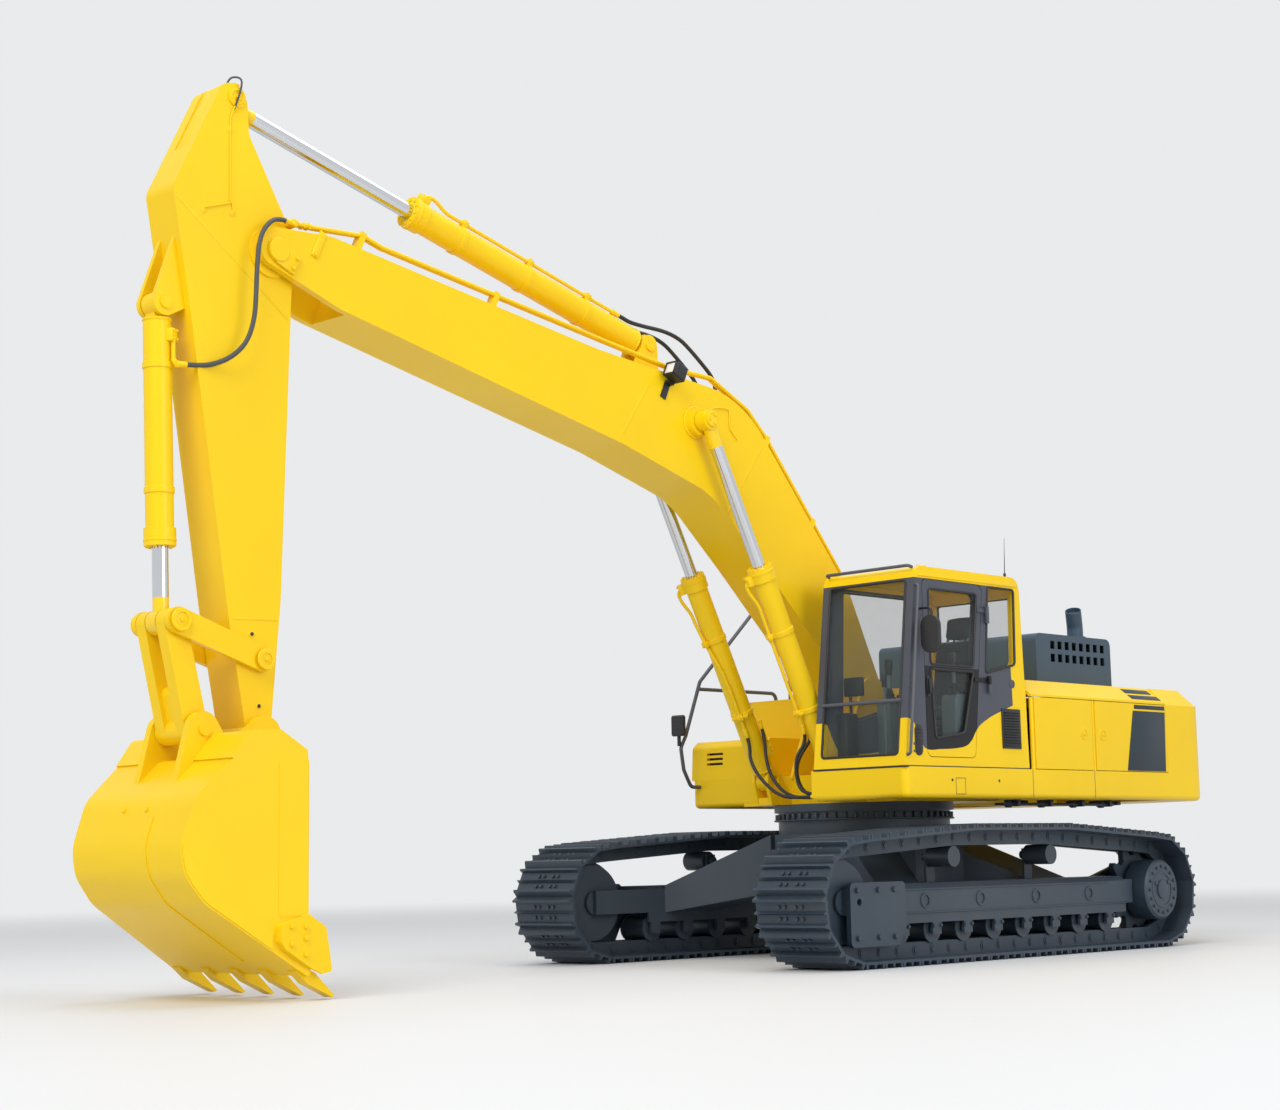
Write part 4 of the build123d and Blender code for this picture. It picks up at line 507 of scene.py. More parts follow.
@dataclass
class Shaper:
    """Collects shapes in one mesh and turns them into a finished piece."""

    mesh: bmesh.types.BMesh = field(default_factory=bmesh.new)

    def _take(self, part: bmesh.types.BMesh) -> None:
        """Moves a finished part into the piece.

        Args:
            part: Mesh to take in, freed afterwards.
        """
        bmesh.ops.recalc_face_normals(part, faces=part.faces)
        carrier = bpy.data.meshes.new("part")
        part.to_mesh(carrier)
        part.free()
        self.mesh.from_mesh(carrier)
        bpy.data.meshes.remove(carrier)

    def box(self, low: Place, high: Place, edge: float = 0.0, turn: Matrix | None = None) -> None:
        """Adds a box between two corners.

        Args:
            low: Lowest corner.
            high: Highest corner.
            edge: Rounding of its edges.
            turn: Turn about its own middle.
        """
        part = bmesh.new()
        size = Vector(high) - Vector(low)
        bmesh.ops.create_cube(part, size=1.0, matrix=Matrix.Diagonal((*size, 1.0)))
        soften(part, edge)
        middle = Matrix.Translation((Vector(high) + Vector(low)) / 2)
        bmesh.ops.transform(part, matrix=middle @ (turn or Matrix.Identity(4)), verts=part.verts)
        self._take(part)

    def rod(
        self, start: Place, end: Place, radius: float, sides: int = 20, edge: float = 0.0,
        end_radius: float | None = None,
    ) -> None:
        """Adds a round bar, or a cone where the end's radius differs.

        Args:
            start: Centre of one end.
            end: Centre of the other end.
            radius: Radius at the start.
            sides: Faces round it.
            edge: Rounding of its rims.
            end_radius: Radius at the end.
        """
        part = bmesh.new()
        run = Vector(end) - Vector(start)
        far = radius if end_radius is None else end_radius
        bmesh.ops.create_cone(
            part, cap_ends=True, segments=sides, radius1=radius, radius2=far, depth=run.length)
        rims = [line for line in part.edges if any(len(face.verts) > 4 for face in line.link_faces)]
        soften(part, edge, edges=rims)
        middle = Matrix.Translation((Vector(start) + Vector(end)) / 2)
        bmesh.ops.transform(part, matrix=middle @ turn_up_to(run), verts=part.verts)
        self._take(part)

    def turned(self, profile: Sequence[Flat], origin: Place, axis: Place, steps: int = 40) -> None:
        """Adds a body of revolution.

        Args:
            profile: Points (along the axis, radius), in order.
            origin: Where the axis starts.
            axis: Direction of the axis.
            steps: Faces round it.
        """
        part = bmesh.new()
        verts = [part.verts.new((radius, 0.0, along)) for along, radius in profile]
        edges = [part.edges.new(two) for two in zip(verts, verts[1:])]
        bmesh.ops.spin(
            part, geom=[*verts, *edges], cent=(0, 0, 0), axis=UP, angle=math.tau, steps=steps,
            use_merge=True, use_duplicate=False)
        bmesh.ops.remove_doubles(part, verts=part.verts, dist=1e-5)
        bmesh.ops.transform(
            part, matrix=Matrix.Translation(Vector(origin)) @ turn_up_to(axis), verts=part.verts)
        self._take(part)

    def plate(self, corners: Sequence[Place], depth: Place, edge: float = 0.0) -> None:
        """Adds a flat plate.

        Args:
            corners: Corners of one face, in order.
            depth: Vector to the other face.
            edge: Rounding of its edges.
        """
        part = bmesh.new()
        face = part.faces.new([part.verts.new(corner) for corner in corners])
        grown = bmesh.ops.extrude_face_region(part, geom=[face])
        moved = [item for item in grown["geom"] if isinstance(item, bmesh.types.BMVert)]
        bmesh.ops.translate(part, vec=Vector(depth), verts=moved)
        bmesh.ops.recalc_face_normals(part, faces=part.faces)
        soften(part, edge)
        self._take(part)

    def brick(self, centre: Place, size: Place, turn: Matrix, edge: float = 0.0) -> None:
        """Adds a turned box.

        Args:
            centre: Its middle.
            size: Its sides along the turned axes.
            turn: Turn about its middle.
            edge: Rounding of its edges.
        """
        half = Vector(size) / 2
        self.box(Vector(centre) - half, Vector(centre) + half, edge, turn)

    def ring(
        self, origin: Place, axis: Place, inner: float, outer: float, width: float, steps: int = 40,
    ) -> None:
        """Adds a closed ring with eased rims.

        Args:
            origin: Middle of its near face.
            axis: Direction it is wide in.
            inner: Inner radius.
            outer: Outer radius.
            width: Width along the axis.
            steps: Faces round it.
        """
        ease = min(0.3 * width, 0.4 * (outer - inner))
        near = [(0.0, inner), (0.0, outer - ease), (ease, outer)]
        far = [(width - ease, outer), (width, outer - ease), (width, inner)]
        self.turned([*near, *far, near[0]], origin, axis, steps)

    def hexagon(self, seat: Place, axis: Place, size: float, height: float) -> None:
        """Adds a hexagon bolt head with its washer.

        Args:
            seat: Middle of the face that it sits on.
            axis: Direction it stands out in.
            size: Radius across its corners.
            height: Height of the head.
        """
        out = Vector(axis).normalized()
        base = Vector(seat)
        self.rod(base - out * 0.002, base + out * height * 0.25, size * 1.25, 12)
        self.rod(base, base + out * height, size, 6, size * 0.12)

    def bolt_ring(self, centre: Place, axis: Place, radius: float, count: int, size: float) -> None:
        """Adds a ring of bolt heads.

        Args:
            centre: Middle of the ring, on the seat.
            axis: Direction that the heads stand out in.
            radius: Ring radius.
            count: Number of bolts.
            size: Radius of a head.
        """
        turn = turn_up_to(axis)
        for angle in circle(count):
            seat = Vector(centre) + turn @ Vector((radius * math.cos(angle), radius * math.sin(angle), 0.0))
            self.hexagon(seat, axis, size, size * 1.1)

    def piece(self, name: str, finish: Finish, body: str, slot: str, angle: float = 35.0) -> bpy.types.Object:
        """Makes the collected shapes one piece that rides on a body.

        Args:
            name: Piece name.
            finish: Finish of its surface.
            body: Body that carries it.
            slot: Record slot of the piece; not used.
            angle: Edges sharper than this stay sharp, in degrees.

        Returns:
            The piece.
        """
        data = bpy.data.meshes.new(name)
        self.mesh.to_mesh(data)
        self.mesh.free()
        data.shade_smooth()
        data.set_sharp_from_angle(angle=math.radians(angle))
        return settle(bpy.data.objects.new(name, data), finish, body)


def settle(thing: bpy.types.Object, finish: Finish, body: str) -> bpy.types.Object:
    """Links a piece, gives it its finish and lets it ride on a body.

    Args:
        thing: New object.
        finish: Finish of its surface.
        body: Body that carries it.

    Returns:
        The same object.
    """
    bpy.context.scene.collection.objects.link(thing)
    thing.data.materials.append(finish.material)
    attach(thing, body)
    LOG.info("%s rides on %s", thing.name, body)
    return thing


def pipes(
    name: str, routes: Sequence[Sequence[Place]], radius: float, finish: Finish, body: str
) -> bpy.types.Object:
    """Makes rigid pipes or bent tubes as one curve piece.

    Args:
        name: Piece name.
        routes: Control points of each pipe.
        radius: Pipe radius.
        finish: Finish of its surface.
        body: Body that carries it.

    Returns:
        The piece.
    """
    return settle(bpy.data.objects.new(name, tube_curve(name, routes, radius)), finish, body)


def tube_curve(name: str, routes: Sequence[Sequence[Place]], radius: float) -> bpy.types.Curve:
    """Makes smooth tubes along control points.

    Args:
        name: Curve name.
        routes: Control points of each tube.
        radius: Tube radius, or 0 for bare lines.

    Returns:
        The curve.
    """
    curve = bpy.data.curves.new(name, "CURVE")
    curve.dimensions = "3D"
    curve.bevel_depth = radius
    curve.bevel_resolution = 4
    curve.resolution_u = 6
    curve.use_fill_caps = True
    for route in routes:
        spline = curve.splines.new("NURBS")
        spline.points.add(len(route) - 1)
        for control, place in zip(spline.points, route):
            control.co = (*place, 1.0)
        spline.order_u = 3
        spline.use_endpoint_u = True
    return curve


# Frames of the moving members


@dataclass(frozen=True)
class Member:
    """Side-view frame of a leaning member: x along it, z up from it, y to the machine's left."""

    x: float
    z: float
    angle: float

    def at(self, along: float, up: float, y: float = 0.0) -> Vector:
        """Returns a point of the member in the machine's frame.

        Args:
            along: Distance along the member.
            up: Distance up from it.
            y: Distance to the left.

        Returns:
            The point.
        """
        run, rise = math.cos(math.radians(self.angle)), math.sin(math.radians(self.angle))
        return Vector((self.x + along * run - up * rise, y, self.z + along * rise + up * run))

    def aim(self, along: float, up: float) -> Vector:
        """Returns a direction of the member in the machine's frame.

        Args:
            along: Share along the member.
            up: Share up from it.

        Returns:
            The direction.
        """
        run, rise = math.cos(math.radians(self.angle)), math.sin(math.radians(self.angle))
        return Vector((along * run - up * rise, 0.0, along * rise + up * run))

    def pin(self, along: float, up: float) -> Flat:
        """Returns a pin of the member in side view, as (x, z) of the machine's frame."""
        point = self.at(along, up)
        return point.x, point.z

    @property
    def axes(self) -> Matrix:
        """Turn whose x runs along the member, whose y points up from it and whose z points left."""
        return turned_axes(self.aim(1, 0), self.aim(0, 1), LEFT)


BOOM = Member(0.160, 2.260, 24.0)
BOOM_LENGTH = 7.060
TIP = BOOM.at(BOOM_LENGTH, 0.0)
ARM = Member(TIP.x, TIP.z, -88.5)
ARM_LENGTH = 3.380
BUCKET_PIN = ARM.at(ARM_LENGTH, 0.0)
BUCKET = Member(BUCKET_PIN.x, BUCKET_PIN.z, 0.0)
LIFT_PIN = BOOM.pin(2.908, 1.097)
ARM_ROD_PIN = (-1.052, 0.322)
SIDE_LINK_PIN = ARM.pin(ARM_LENGTH - 0.514, 0.004)
LINK_HEAD: Flat = (7.3702, 2.4956)  # where the side links, the bucket link and the rod meet at rest


# Undercarriage


@dataclass
class Undercarriage:
    """Track shoes' bolts, chain pins, drive covers and frame fittings."""

    gauge: float = 2.740
    tumbler_half: float = 2.175
    axle: float = 0.510
    pitch_radius: float = 0.398
    carrier_half: float = 0.700
    rise: float = 0.090
    shoes: int = 49
    face: float = 0.076
    cover_face: float = 0.300
    frame_half: float = 0.190
    guard_proud: float = 0.045
    link_face: float = 0.118
    bolt_rows: tuple[float, ...] = (-0.115, -0.055, 0.055, 0.115)
    bolt_half: float = 0.045
    rollers: int = 8
    roller_reach: float = 1.475
    studs: int = 54
    stud_circle: float = 0.772
    ring_face: float = 1.186
    body: str = "undercarriage"

    def joints(self) -> list[Vector]:
        """Returns the chain joints in side view, from the front end of the ground run.

        Returns:
            Joint points with y of zero.
        """
        high = self.axle + self.pitch_radius + self.rise
        low = self.axle - self.pitch_radius
        rise, run = high - self.axle, self.tumbler_half - self.carrier_half
        leave = math.pi - math.atan2(rise, run) - math.acos(self.pitch_radius / math.hypot(rise, run))
        corner = self._on_tumbler(self.tumbler_half, leave)
        rear = Vector((-corner.x, 0.0, corner.z))
        line = [Vector((-self.tumbler_half, 0, low)), Vector((self.tumbler_half, 0, low))]
        line += self._arc(self.tumbler_half, -math.pi / 2, leave)
        line += [corner, Vector((self.carrier_half, 0, high)), Vector((-self.carrier_half, 0, high)), rear]
        line += self._arc(-self.tumbler_half, math.pi - leave, 1.5 * math.pi)
        return self._step_along(line)

    def _on_tumbler(self, x: float, angle: float) -> Vector:
        """Returns the point of a tumbler's pitch circle at an angle."""
        across, up = self.pitch_radius * math.cos(angle), self.pitch_radius * math.sin(angle)
        return Vector((x + across, 0.0, self.axle + up))

    def _arc(self, x: float, start: float, end: float) -> list[Vector]:
        """Returns fine points round one tumbler, between two angles."""
        return [self._on_tumbler(x, angle) for angle in spread(64, start, end)]

    def _step_along(self, line: Sequence[Vector]) -> list[Vector]:
        """Divides a closed line into equal steps.

        Args:
            line: Points of the line, the last one meeting the first.

        Returns:
            One point for each shoe.
        """
        total = sum((b - a).length for a, b in zip(line, line[1:]))
        step, found, behind = total / self.shoes, [], 0.0
        for a, b in zip(line, line[1:]):
            length = (b - a).length
            while len(found) < self.shoes and len(found) * step < behind + length:
                found.append(a.lerp(b, (len(found) * step - behind) / length))
            behind += length
        return found

    def build(self) -> None:
        """Builds every fitting of the undercarriage."""
        self._chain()
        self._drives()
        self._frames()

    def _chain(self) -> None:
        """Builds the shoe bolts and the pin ends of both chains."""
        joints = self.joints()
        for side, name in ((1, "left"), (-1, "right")):
            middle = side * self.gauge / 2
            bolts, pins = Shaper(), Shaper()
            for first, second in zip(joints, joints[1:] + joints[:1]):
                along = (second - first).normalized()
                out = Vector((along.z, 0.0, -along.x))
                centre = (first + second) / 2 + out * self.face
                for offset in (-self.bolt_half, self.bolt_half):
                    for y in self.bolt_rows:
                        seat = centre + along * offset + Vector((0.0, middle + y, 0.0))
                        bolts.rod(seat - out * 0.001, seat + out * 0.014, 0.016, 6)
                for reach in (-1, 1):
                    start = first + Vector((0.0, middle + reach * self.link_face, 0.0))
                    pins.rod(start, start + LEFT * reach * 0.012, 0.026, 12)
                    pins.rod(start, start + LEFT * reach * 0.006, 0.042, 16)
            bolts.piece(f"shoe_bolts_{name}", Finish.TRACK, self.body, "track_steel")
            pins.piece(f"chain_pins_{name}", Finish.TRACK, self.body, "track_steel")

    def _drives(self) -> None:
        """Builds the bolted rims and hub caps of the final drives, and the swing ring's studs."""
        studs = Shaper()
        for angle in circle(self.studs):
            across, along = self.stud_circle * math.sin(angle), self.stud_circle * math.cos(angle)
            foot = Vector((along, across, self.ring_face))
            studs.rod(foot, foot + UP * 0.052, 0.017, 8, 0.003)
        studs.ring((0.0, 0.0, self.ring_face - 0.010), UP, 0.74, 0.80, 0.014, 72)
        studs.piece("swing_ring_studs", Finish.DARK, self.body, "dark_paint")
        bolts = Shaper()
        for side in (1, -1):
            out = LEFT * side
            face = Vector((-self.tumbler_half, side * (self.gauge / 2 + self.cover_face), self.axle))
            bolts.bolt_ring(face, out, 0.205, 16, 0.013)
            cap = [(-0.002, 0.0), (-0.002, 0.085), (0.012, 0.085), (0.018, 0.07), (0.018, 0.0)]
            bolts.turned(cap, face, out)
            bolts.ring(face - out * 0.003, out, 0.145, 0.165, 0.008)
            for angle in (0.5, 2.6):
                plug = face + Vector((0.12 * math.cos(angle), 0.0, 0.12 * math.sin(angle)))
                bolts.rod(plug, plug + out * 0.012, 0.02, 8, 0.003)
        bolts.piece("drive_cover_bolts", Finish.DARK, self.body, "dark_paint")

    def _frames(self) -> None:
        """Builds guard bolts, roller bolts, plugs and weld beads on the track frames."""
        trim = Shaper()
        for side in (1, -1):
            out = LEFT * side
            outer = self.gauge / 2 + self.frame_half
            guard = side * (outer + self.guard_proud)
            for x in (1.66, 1.86, 2.12):
                for z in (0.235, 0.60):
                    trim.hexagon((x, guard, z), out, 0.02, 0.02)
            for x in spread(self.rollers, -self.roller_reach, self.roller_reach):
                for dx in (-self.bolt_half, self.bolt_half):
                    trim.hexagon((x + dx, side * outer, 0.30), out, 0.014, 0.014)
            for x in (-1.15, -0.35, 0.45, 1.2):
                trim.ring((x, side * (outer - 0.004), 0.5), out, 0.044, 0.062, 0.014, 28)
            low, high = sorted((side * (outer - 0.002), side * (outer + 0.012)))
            trim.box((-1.45, low, 0.585), (1.5, high, 0.598), 0.004)
            trim.box((-1.75, low, 0.40), (1.5, high, 0.412), 0.004)
        trim.piece("track_frame_fittings", Finish.DARK, self.body, "dark_paint")


# Upper body


@dataclass
class UpperBody:
    """Rear panels and stripes, louvre, catches, hood trim, hatch, tank cap and under-deck pipes."""

    half: float = 1.490
    deck_bottom: float = 1.320
    deck_top: float = 1.575
    shoulder: float = 2.228
    shoulder_inner: float = 1.300
    cover_top: float = 2.370
    skin: float = 0.004
    catch_height: float = 1.900
    louvre_face: float = 1.480
    body: str = "upper"

    def build(self) -> None:
        """Builds every fitting of the upper body."""
        self._rear_panel()
        self._louvre()
        self._catches()
        self._hood_trim()
        self._deck_trim()
        self._under_deck()
        self._tool_box()

    def _rear_panel(self) -> None:
        """Builds the dark panel and strip on each rear side, with the stripes above them."""
        panel_rim = [(-1.985, 1.585), (-2.635, 1.585), (-2.66, 2.135), (-2.115, 2.135)]
        strip_rim = [(-2.135, 2.153), (-2.66, 2.153), (-2.66, 2.19), (-2.143, 2.19)]
        for side, name, door in ((1, "left", "left_door_rear"), (-1, "right", "right_door")):
            panel, stripes = Shaper(), Shaper()
            y = side * self.half
            for rim in (panel_rim, strip_rim):
                panel.plate([(x, y, z) for x, z in rim], LEFT * (side * self.skin), 0.0015)
            panel.piece(f"rear_panel_{name}", Finish.PANEL, door, "dark_paint")
            low = Vector((0.0, y, self.shoulder))
            high = Vector((0.0, side * self.shoulder_inner, self.cover_top))
            out = (high - low).cross(Vector((side, 0.0, 0.0))).normalized()
            for start, end in ((0.12, 0.40), (0.54, 0.82)):
                lower, upper = low.lerp(high, start), low.lerp(high, end)
                front, rear = -2.15 - 0.03 * start, -2.66 + 0.09 * start
                corners = [(x, lower.y, lower.z) for x in (front, rear)]
                corners += [(x, upper.y, upper.z) for x in (rear, front)]
                stripes.plate(corners, out * self.skin, 0.001)
            stripes.piece(f"rear_stripes_{name}", Finish.PANEL, self.body, "dark_paint")

    def _louvre(self) -> None:
        """Builds the dark louvre behind the cab door."""
        louvre = Shaper()
        y, tilt = self.louvre_face, Matrix.Rotation(0.5, 4, "X")
        louvre.box((-0.33, y - 0.004, 1.745), (-0.06, y + 0.012, 2.085), 0.006)
        for z in spread(13, 1.775, 2.055):
            louvre.box((-0.31, y + 0.006, z - 0.006), (-0.08, y + 0.022, z + 0.004), 0.002, tilt)
        louvre.piece("side_louvre", Finish.BLACK, self.body, "cab_grey")

    def _catches(self) -> None:
        """Builds the recessed catches of the side doors."""
        places = (("left_door_front", -1.30, 1), ("left_door_rear", -1.60, 1), ("right_door", -1.62, -1))
        for door, x, side in places:
            catch = Shaper()
            y, z = side * self.half, self.catch_height
            catch.ring((x, y - side * 0.002, z), LEFT * side, 0.038, 0.05, 0.008, 28)
            catch.box((x - 0.03, y - 0.008, z - 0.01), (x + 0.03, y + 0.008, z + 0.01), 0.003)
            catch.piece(f"{door}_catch", Finish.YELLOW, door, "yellow_paint")

    def _hood_trim(self) -> None:
        """Builds the hood's latch, grab bar and the exhaust's collar."""
        trim = Shaper()
        trim.ring((-2.25, 0.82, 2.857), UP, 0.076, 0.1, 0.02, 32)
        trim.box((-2.622, -0.2, 2.56), (-2.606, 0.2, 2.62), 0.004)
        trim.piece("hood_trim", Finish.HOOD, "engine_hood", "dark_paint")
        y, foot, top = -0.3, 2.858, 2.93
        front = [(-1.75, y, foot), (-1.75, y, top - 0.01), (-1.78, y, top)]
        rear = [(-2.2, y, top), (-2.23, y, top - 0.01), (-2.23, y, foot)]
        pipes("hood_grab_bar", [front + rear], 0.014, Finish.BLACK, "engine_hood")

    def _deck_trim(self) -> None:
        """Builds the skirt's seams, the lugs under the deck and the small hatch in the skirt."""
        trim = Shaper()
        inner, outer = self.half - 0.002, self.half + 0.001
        for x in (-0.48, -1.44):
            trim.box((x - 0.003, inner, self.deck_bottom + 0.02), (x + 0.003, outer, self.deck_top))
        low, high = self.deck_bottom - 0.035, self.deck_bottom + 0.003
        for x in spread(5, -2.4, -0.9):
            trim.box((x - 0.03, 1.05, low), (x + 0.03, 1.12, high), 0.006)
        trim.piece("deck_trim", Finish.DARK, self.body, "dark_paint")
        hatch = Shaper()
        rear, front, low, high, line = 0.498, 0.633, 1.353, 1.490, 0.005
        for x0, z0, x1, z1 in (
            (rear, low, front, low + line), (rear, high - line, front, high),
            (rear, low, rear + line, high), (front - line, low, front, high),
        ):
            hatch.box((x0, inner, z0), (x1, outer, z1))
        for x in (0.68, 0.02):
            hatch.rod((x, inner, 1.47), (x, self.half + 0.002, 1.47), 0.012, 16)
        hatch.piece("deck_hatch", Finish.BLACK, self.body, "dark_paint")

    def _under_deck(self) -> None:
        """Builds the pipes and brackets that show under the deck's edge."""
        z = self.deck_bottom - 0.035
        runs = [[(-0.35, y, z), (-1.0, y, z), (-1.6, y, z), (-2.1, y, z)] for y in (1.18, 1.25)]
        pipes("under_deck_pipes", runs, 0.012, Finish.DARK, self.body)
        trim = Shaper()
        for x in (-0.55, -1.05, -1.55, -2.0):
            trim.box((x - 0.022, 1.14, z - 0.02), (x + 0.022, 1.29, self.deck_bottom + 0.004), 0.005)
            trim.rod((x + 0.06, 1.215, z - 0.03), (x + 0.06, 1.215, self.deck_bottom), 0.03, 20, 0.006)
        trim.piece("under_deck_brackets", Finish.DARK, self.body, "dark_paint")

    def _tool_box(self) -> None:
        """Builds the grille behind the tool box's slots, the tank's filler cap and the cover's bracket."""
        grille = Shaper()
        grille.box((0.560, -1.33, 1.68), (0.582, -1.10, 1.86), 0.004)
        grille.piece("tool_box_grille", Finish.BLACK, self.body, "dark_paint")
        cap = Shaper()
        neck = [(-0.002, 0.0), (-0.002, 0.062), (0.02, 0.062)]
        lid = [(0.03, 0.075), (0.055, 0.075), (0.062, 0.066), (0.062, 0.0)]
        cap.turned(neck + lid, (-0.40, -1.05, 2.32), UP, 32)
        cap.box((-0.60, -1.30, 2.317), (-0.24, -0.72, 2.326), 0.003)
        cap.piece("tank_cap", Finish.YELLOW, self.body, "yellow_paint")
        bracket = Shaper()
        bracket.box((-0.66, 1.18, 2.34), (-0.52, 1.26, 2.43), 0.01)
        bracket.box((-0.62, 1.20, 2.42), (-0.56, 1.24, 2.50), 0.012)
        bracket.piece("cover_bracket", Finish.YELLOW, self.body, "yellow_paint")


# Cab


@dataclass
class Cab:
    """Seals, rails, vents and trim of the cab, and the operator's place."""

    left: float = 1.480
    right: float = 0.520
    front: float = 1.297
    front_top: float = 1.080
    rear: float = -0.450
    rear_top: float = -0.395
    deck: float = 1.575
    floor: float = 1.635
    top: float = 3.230
    seal: float = 0.011
    seal_ease: float = 0.070
    seat_middle: float = 1.000
    body: str = "upper"

    def front_x(self, z: float) -> float:
        """Returns the leaning front face's x at a height."""
        return self.front + (self.front_top - self.front) * (z - self.deck) / (self.top - self.deck)

    def rear_x(self, z: float) -> float:
        """Returns the leaning rear face's x at a height."""
        return self.rear + (self.rear_top - self.rear) * (z - self.deck) / (self.top - self.deck)

    def build(self) -> None:
        """Builds every fitting of the cab."""
        self._seals()
        self._front_rail()
        self._vents()
        self._roof()
        self._mount_strip()
        self._mirror_glass()
        self._controls()

    def _loop(self, corners: Sequence[Place]) -> list[Vector]:
        """Returns a closed seal's route, with its corners eased.

        Args:
            corners: Corners, in order.

        Returns:
            Control points, the first met again by the last.
        """
        points = [Vector(corner) for corner in corners]
        start = points[-1].lerp(points[0], 0.5)
        route = [start]
        for before, here, after in zip(points[-1:] + points[:-1], points, points[1:] + points[:1]):
            route.append(here.lerp(before, self.seal_ease / (before - here).length))
            route.append(here)
            route.append(here.lerp(after, self.seal_ease / (after - here).length))
        return [*route, start]

    def _seals(self) -> None:
        """Builds the rubber seals round every window."""
        right, left = 0.600, 1.400
        screen = [(self.front_x(z), y, z) for y, z in (
            (right, 1.675), (left, 1.675), (left, 3.110), (right, 3.110))]
        back = [(self.rear_x(z), y, z) for y, z in (
            (right, 2.33), (left, 2.33), (left, 3.062), (right, 3.062))]
        quarter = [(x, self.left, z) for x, z in (
            (-0.290, 2.470), (0.140, 2.380), (0.070, 3.120), (-0.310, 3.120))]
        side = [(x, self.right, z) for x, z in (
            (-0.300, 2.250), (0.960, 1.960), (0.900, 3.110), (-0.310, 3.110))]
        fixed = [self._loop(corners) for corners in (screen, back, quarter, side)]
        pipes("window_seals", fixed, self.seal, Finish.RUBBER, self.body)
        upper = [(x, self.left, z) for x, z in (
            (0.315, 2.42), (0.907, 2.42), (0.907, 3.047), (0.235, 3.047))]
        lower = [(x, self.left, z) for x, z in (
            (0.47, 1.865), (0.867, 1.81), (0.907, 2.38), (0.317, 2.38))]
        door = [self._loop(corners) for corners in (upper, lower)]
        pipes("door_seals", door, self.seal, Finish.RUBBER, "cab_door")

    def _front_rail(self) -> None:
        """Builds the bar across the windscreen, the upright rail by the door and the visor's tube."""
        z = 2.115
        bar = [(self.front_x(z) + 0.006, y, z) for y in (0.585, 0.80, 1.20, 1.415)]
        pipes("windscreen_bar", [bar], 0.017, Finish.CAB, self.body)
        y = self.left + 0.034
        upright = [(self.front_x(z) - 0.022, y, z) for z in (3.07, 3.02, 2.75, 2.45, 2.15, 1.90, 1.72, 1.67)]
        ends = [(point[0], self.left - 0.004, point[2]) for point in (upright[0], upright[-1])]
        pipes("door_grab_rail", [[ends[0], *upright, ends[1]]], 0.013, Finish.CAB, self.body)
        low, high = self.top - 0.012, self.top
        visor = [(1.06, 0.56, low), (1.100, 0.56, high)]
        visor += [(1.104, y, high) for y in (0.60, 1.00, 1.40)]
        visor += [(1.100, 1.44, high), (1.06, 1.44, low)]
        pipes("roof_front_tube", [visor], 0.014, Finish.CAB, self.body)

    def _vents(self) -> None:
        """Builds the oval vent ahead of the door, the round catch behind it and the door's handle."""
        trim = Shaper()
        y, (x, z) = self.left, (1.105, 1.790)
        rim = [(x + across, y - 0.004, z + up) for across, up in oval(0.052, 0.075, 32)]
        trim.plate(rim, (0.0, 0.010, 0.0), 0.002)
        for level in spread(7, z - 0.09, z + 0.09):
            trim.box((x - 0.038, y + 0.004, level - 0.004), (x + 0.038, y + 0.012, level + 0.004), 0.002)
        trim.piece("cab_oval_vent", Finish.BLACK, self.body, "cab_grey")
        catch = Shaper()
        catch.ring((-0.239, y - 0.002, 2.302), LEFT, 0.026, 0.036, 0.008)
        catch.rod((-0.239, y - 0.002, 2.302), (-0.239, y + 0.004, 2.302), 0.024, 24, 0.001)
        for z in (1.70, 1.76, 2.20, 2.26):
            catch.rod((1.165, y - 0.001, z), (1.165, y + 0.006, z), 0.011, 12, 0.001)
        catch.piece("cab_side_catch", Finish.CAB, self.body, "cab_grey")
        handle = Shaper()
        handle.box((0.925, y - 0.002, 2.15), (0.965, y + 0.006, 2.32), 0.003)
        handle.box((0.932, y + 0.004, 2.17), (0.958, y + 0.028, 2.30), 0.008)
        handle.piece("cab_door_handle", Finish.BLACK, "cab_door", "cab_grey")

    def _roof(self) -> None:
        """Builds the roof's drip edges, its knobs and the whip aerial."""
        trim = Shaper()
        for y in (self.left - 0.004, self.right - 0.010):
            trim.box((-0.36, y, self.top - 0.085), (1.04, y + 0.014, self.top - 0.062), 0.005)
        for x in (0.84, 0.92):
            trim.rod((x, 1.40, self.top - 0.002), (x, 1.40, self.top + 0.022), 0.02, 20, 0.005)
        trim.box((0.05, 0.72, self.top - 0.003), (0.80, 1.28, self.top + 0.012), 0.010)
        trim.piece("roof_trim", Finish.YELLOW, self.body, "yellow_paint")
        whip = Shaper()
        foot = (-0.34, 1.38, self.top + 0.05)
        whip.rod((-0.34, 1.38, self.top - 0.03), foot, 0.012, 16, 0.003)
        whip.rod(foot, (-0.355, 1.38, self.top + 0.36), 0.004, 10, end_radius=0.0015)
        whip.piece("whip_aerial", Finish.BLACK, self.body, "lamp_plastic")

    def _mount_strip(self) -> None:
        """Builds the rubber strip under the cab."""
        strip = Shaper()
        low, high = self.deck - 0.007, self.deck + 0.009
        strip.box((self.rear, self.left - 0.004, low), (self.front - 0.004, self.left + 0.008, high), 0.003)
        strip.box((self.front - 0.012, self.right, low), (self.front + 0.008, self.left + 0.006, high), 0.003)
        strip.piece("cab_mount_strip", Finish.RUBBER, self.body, "lamp_plastic")

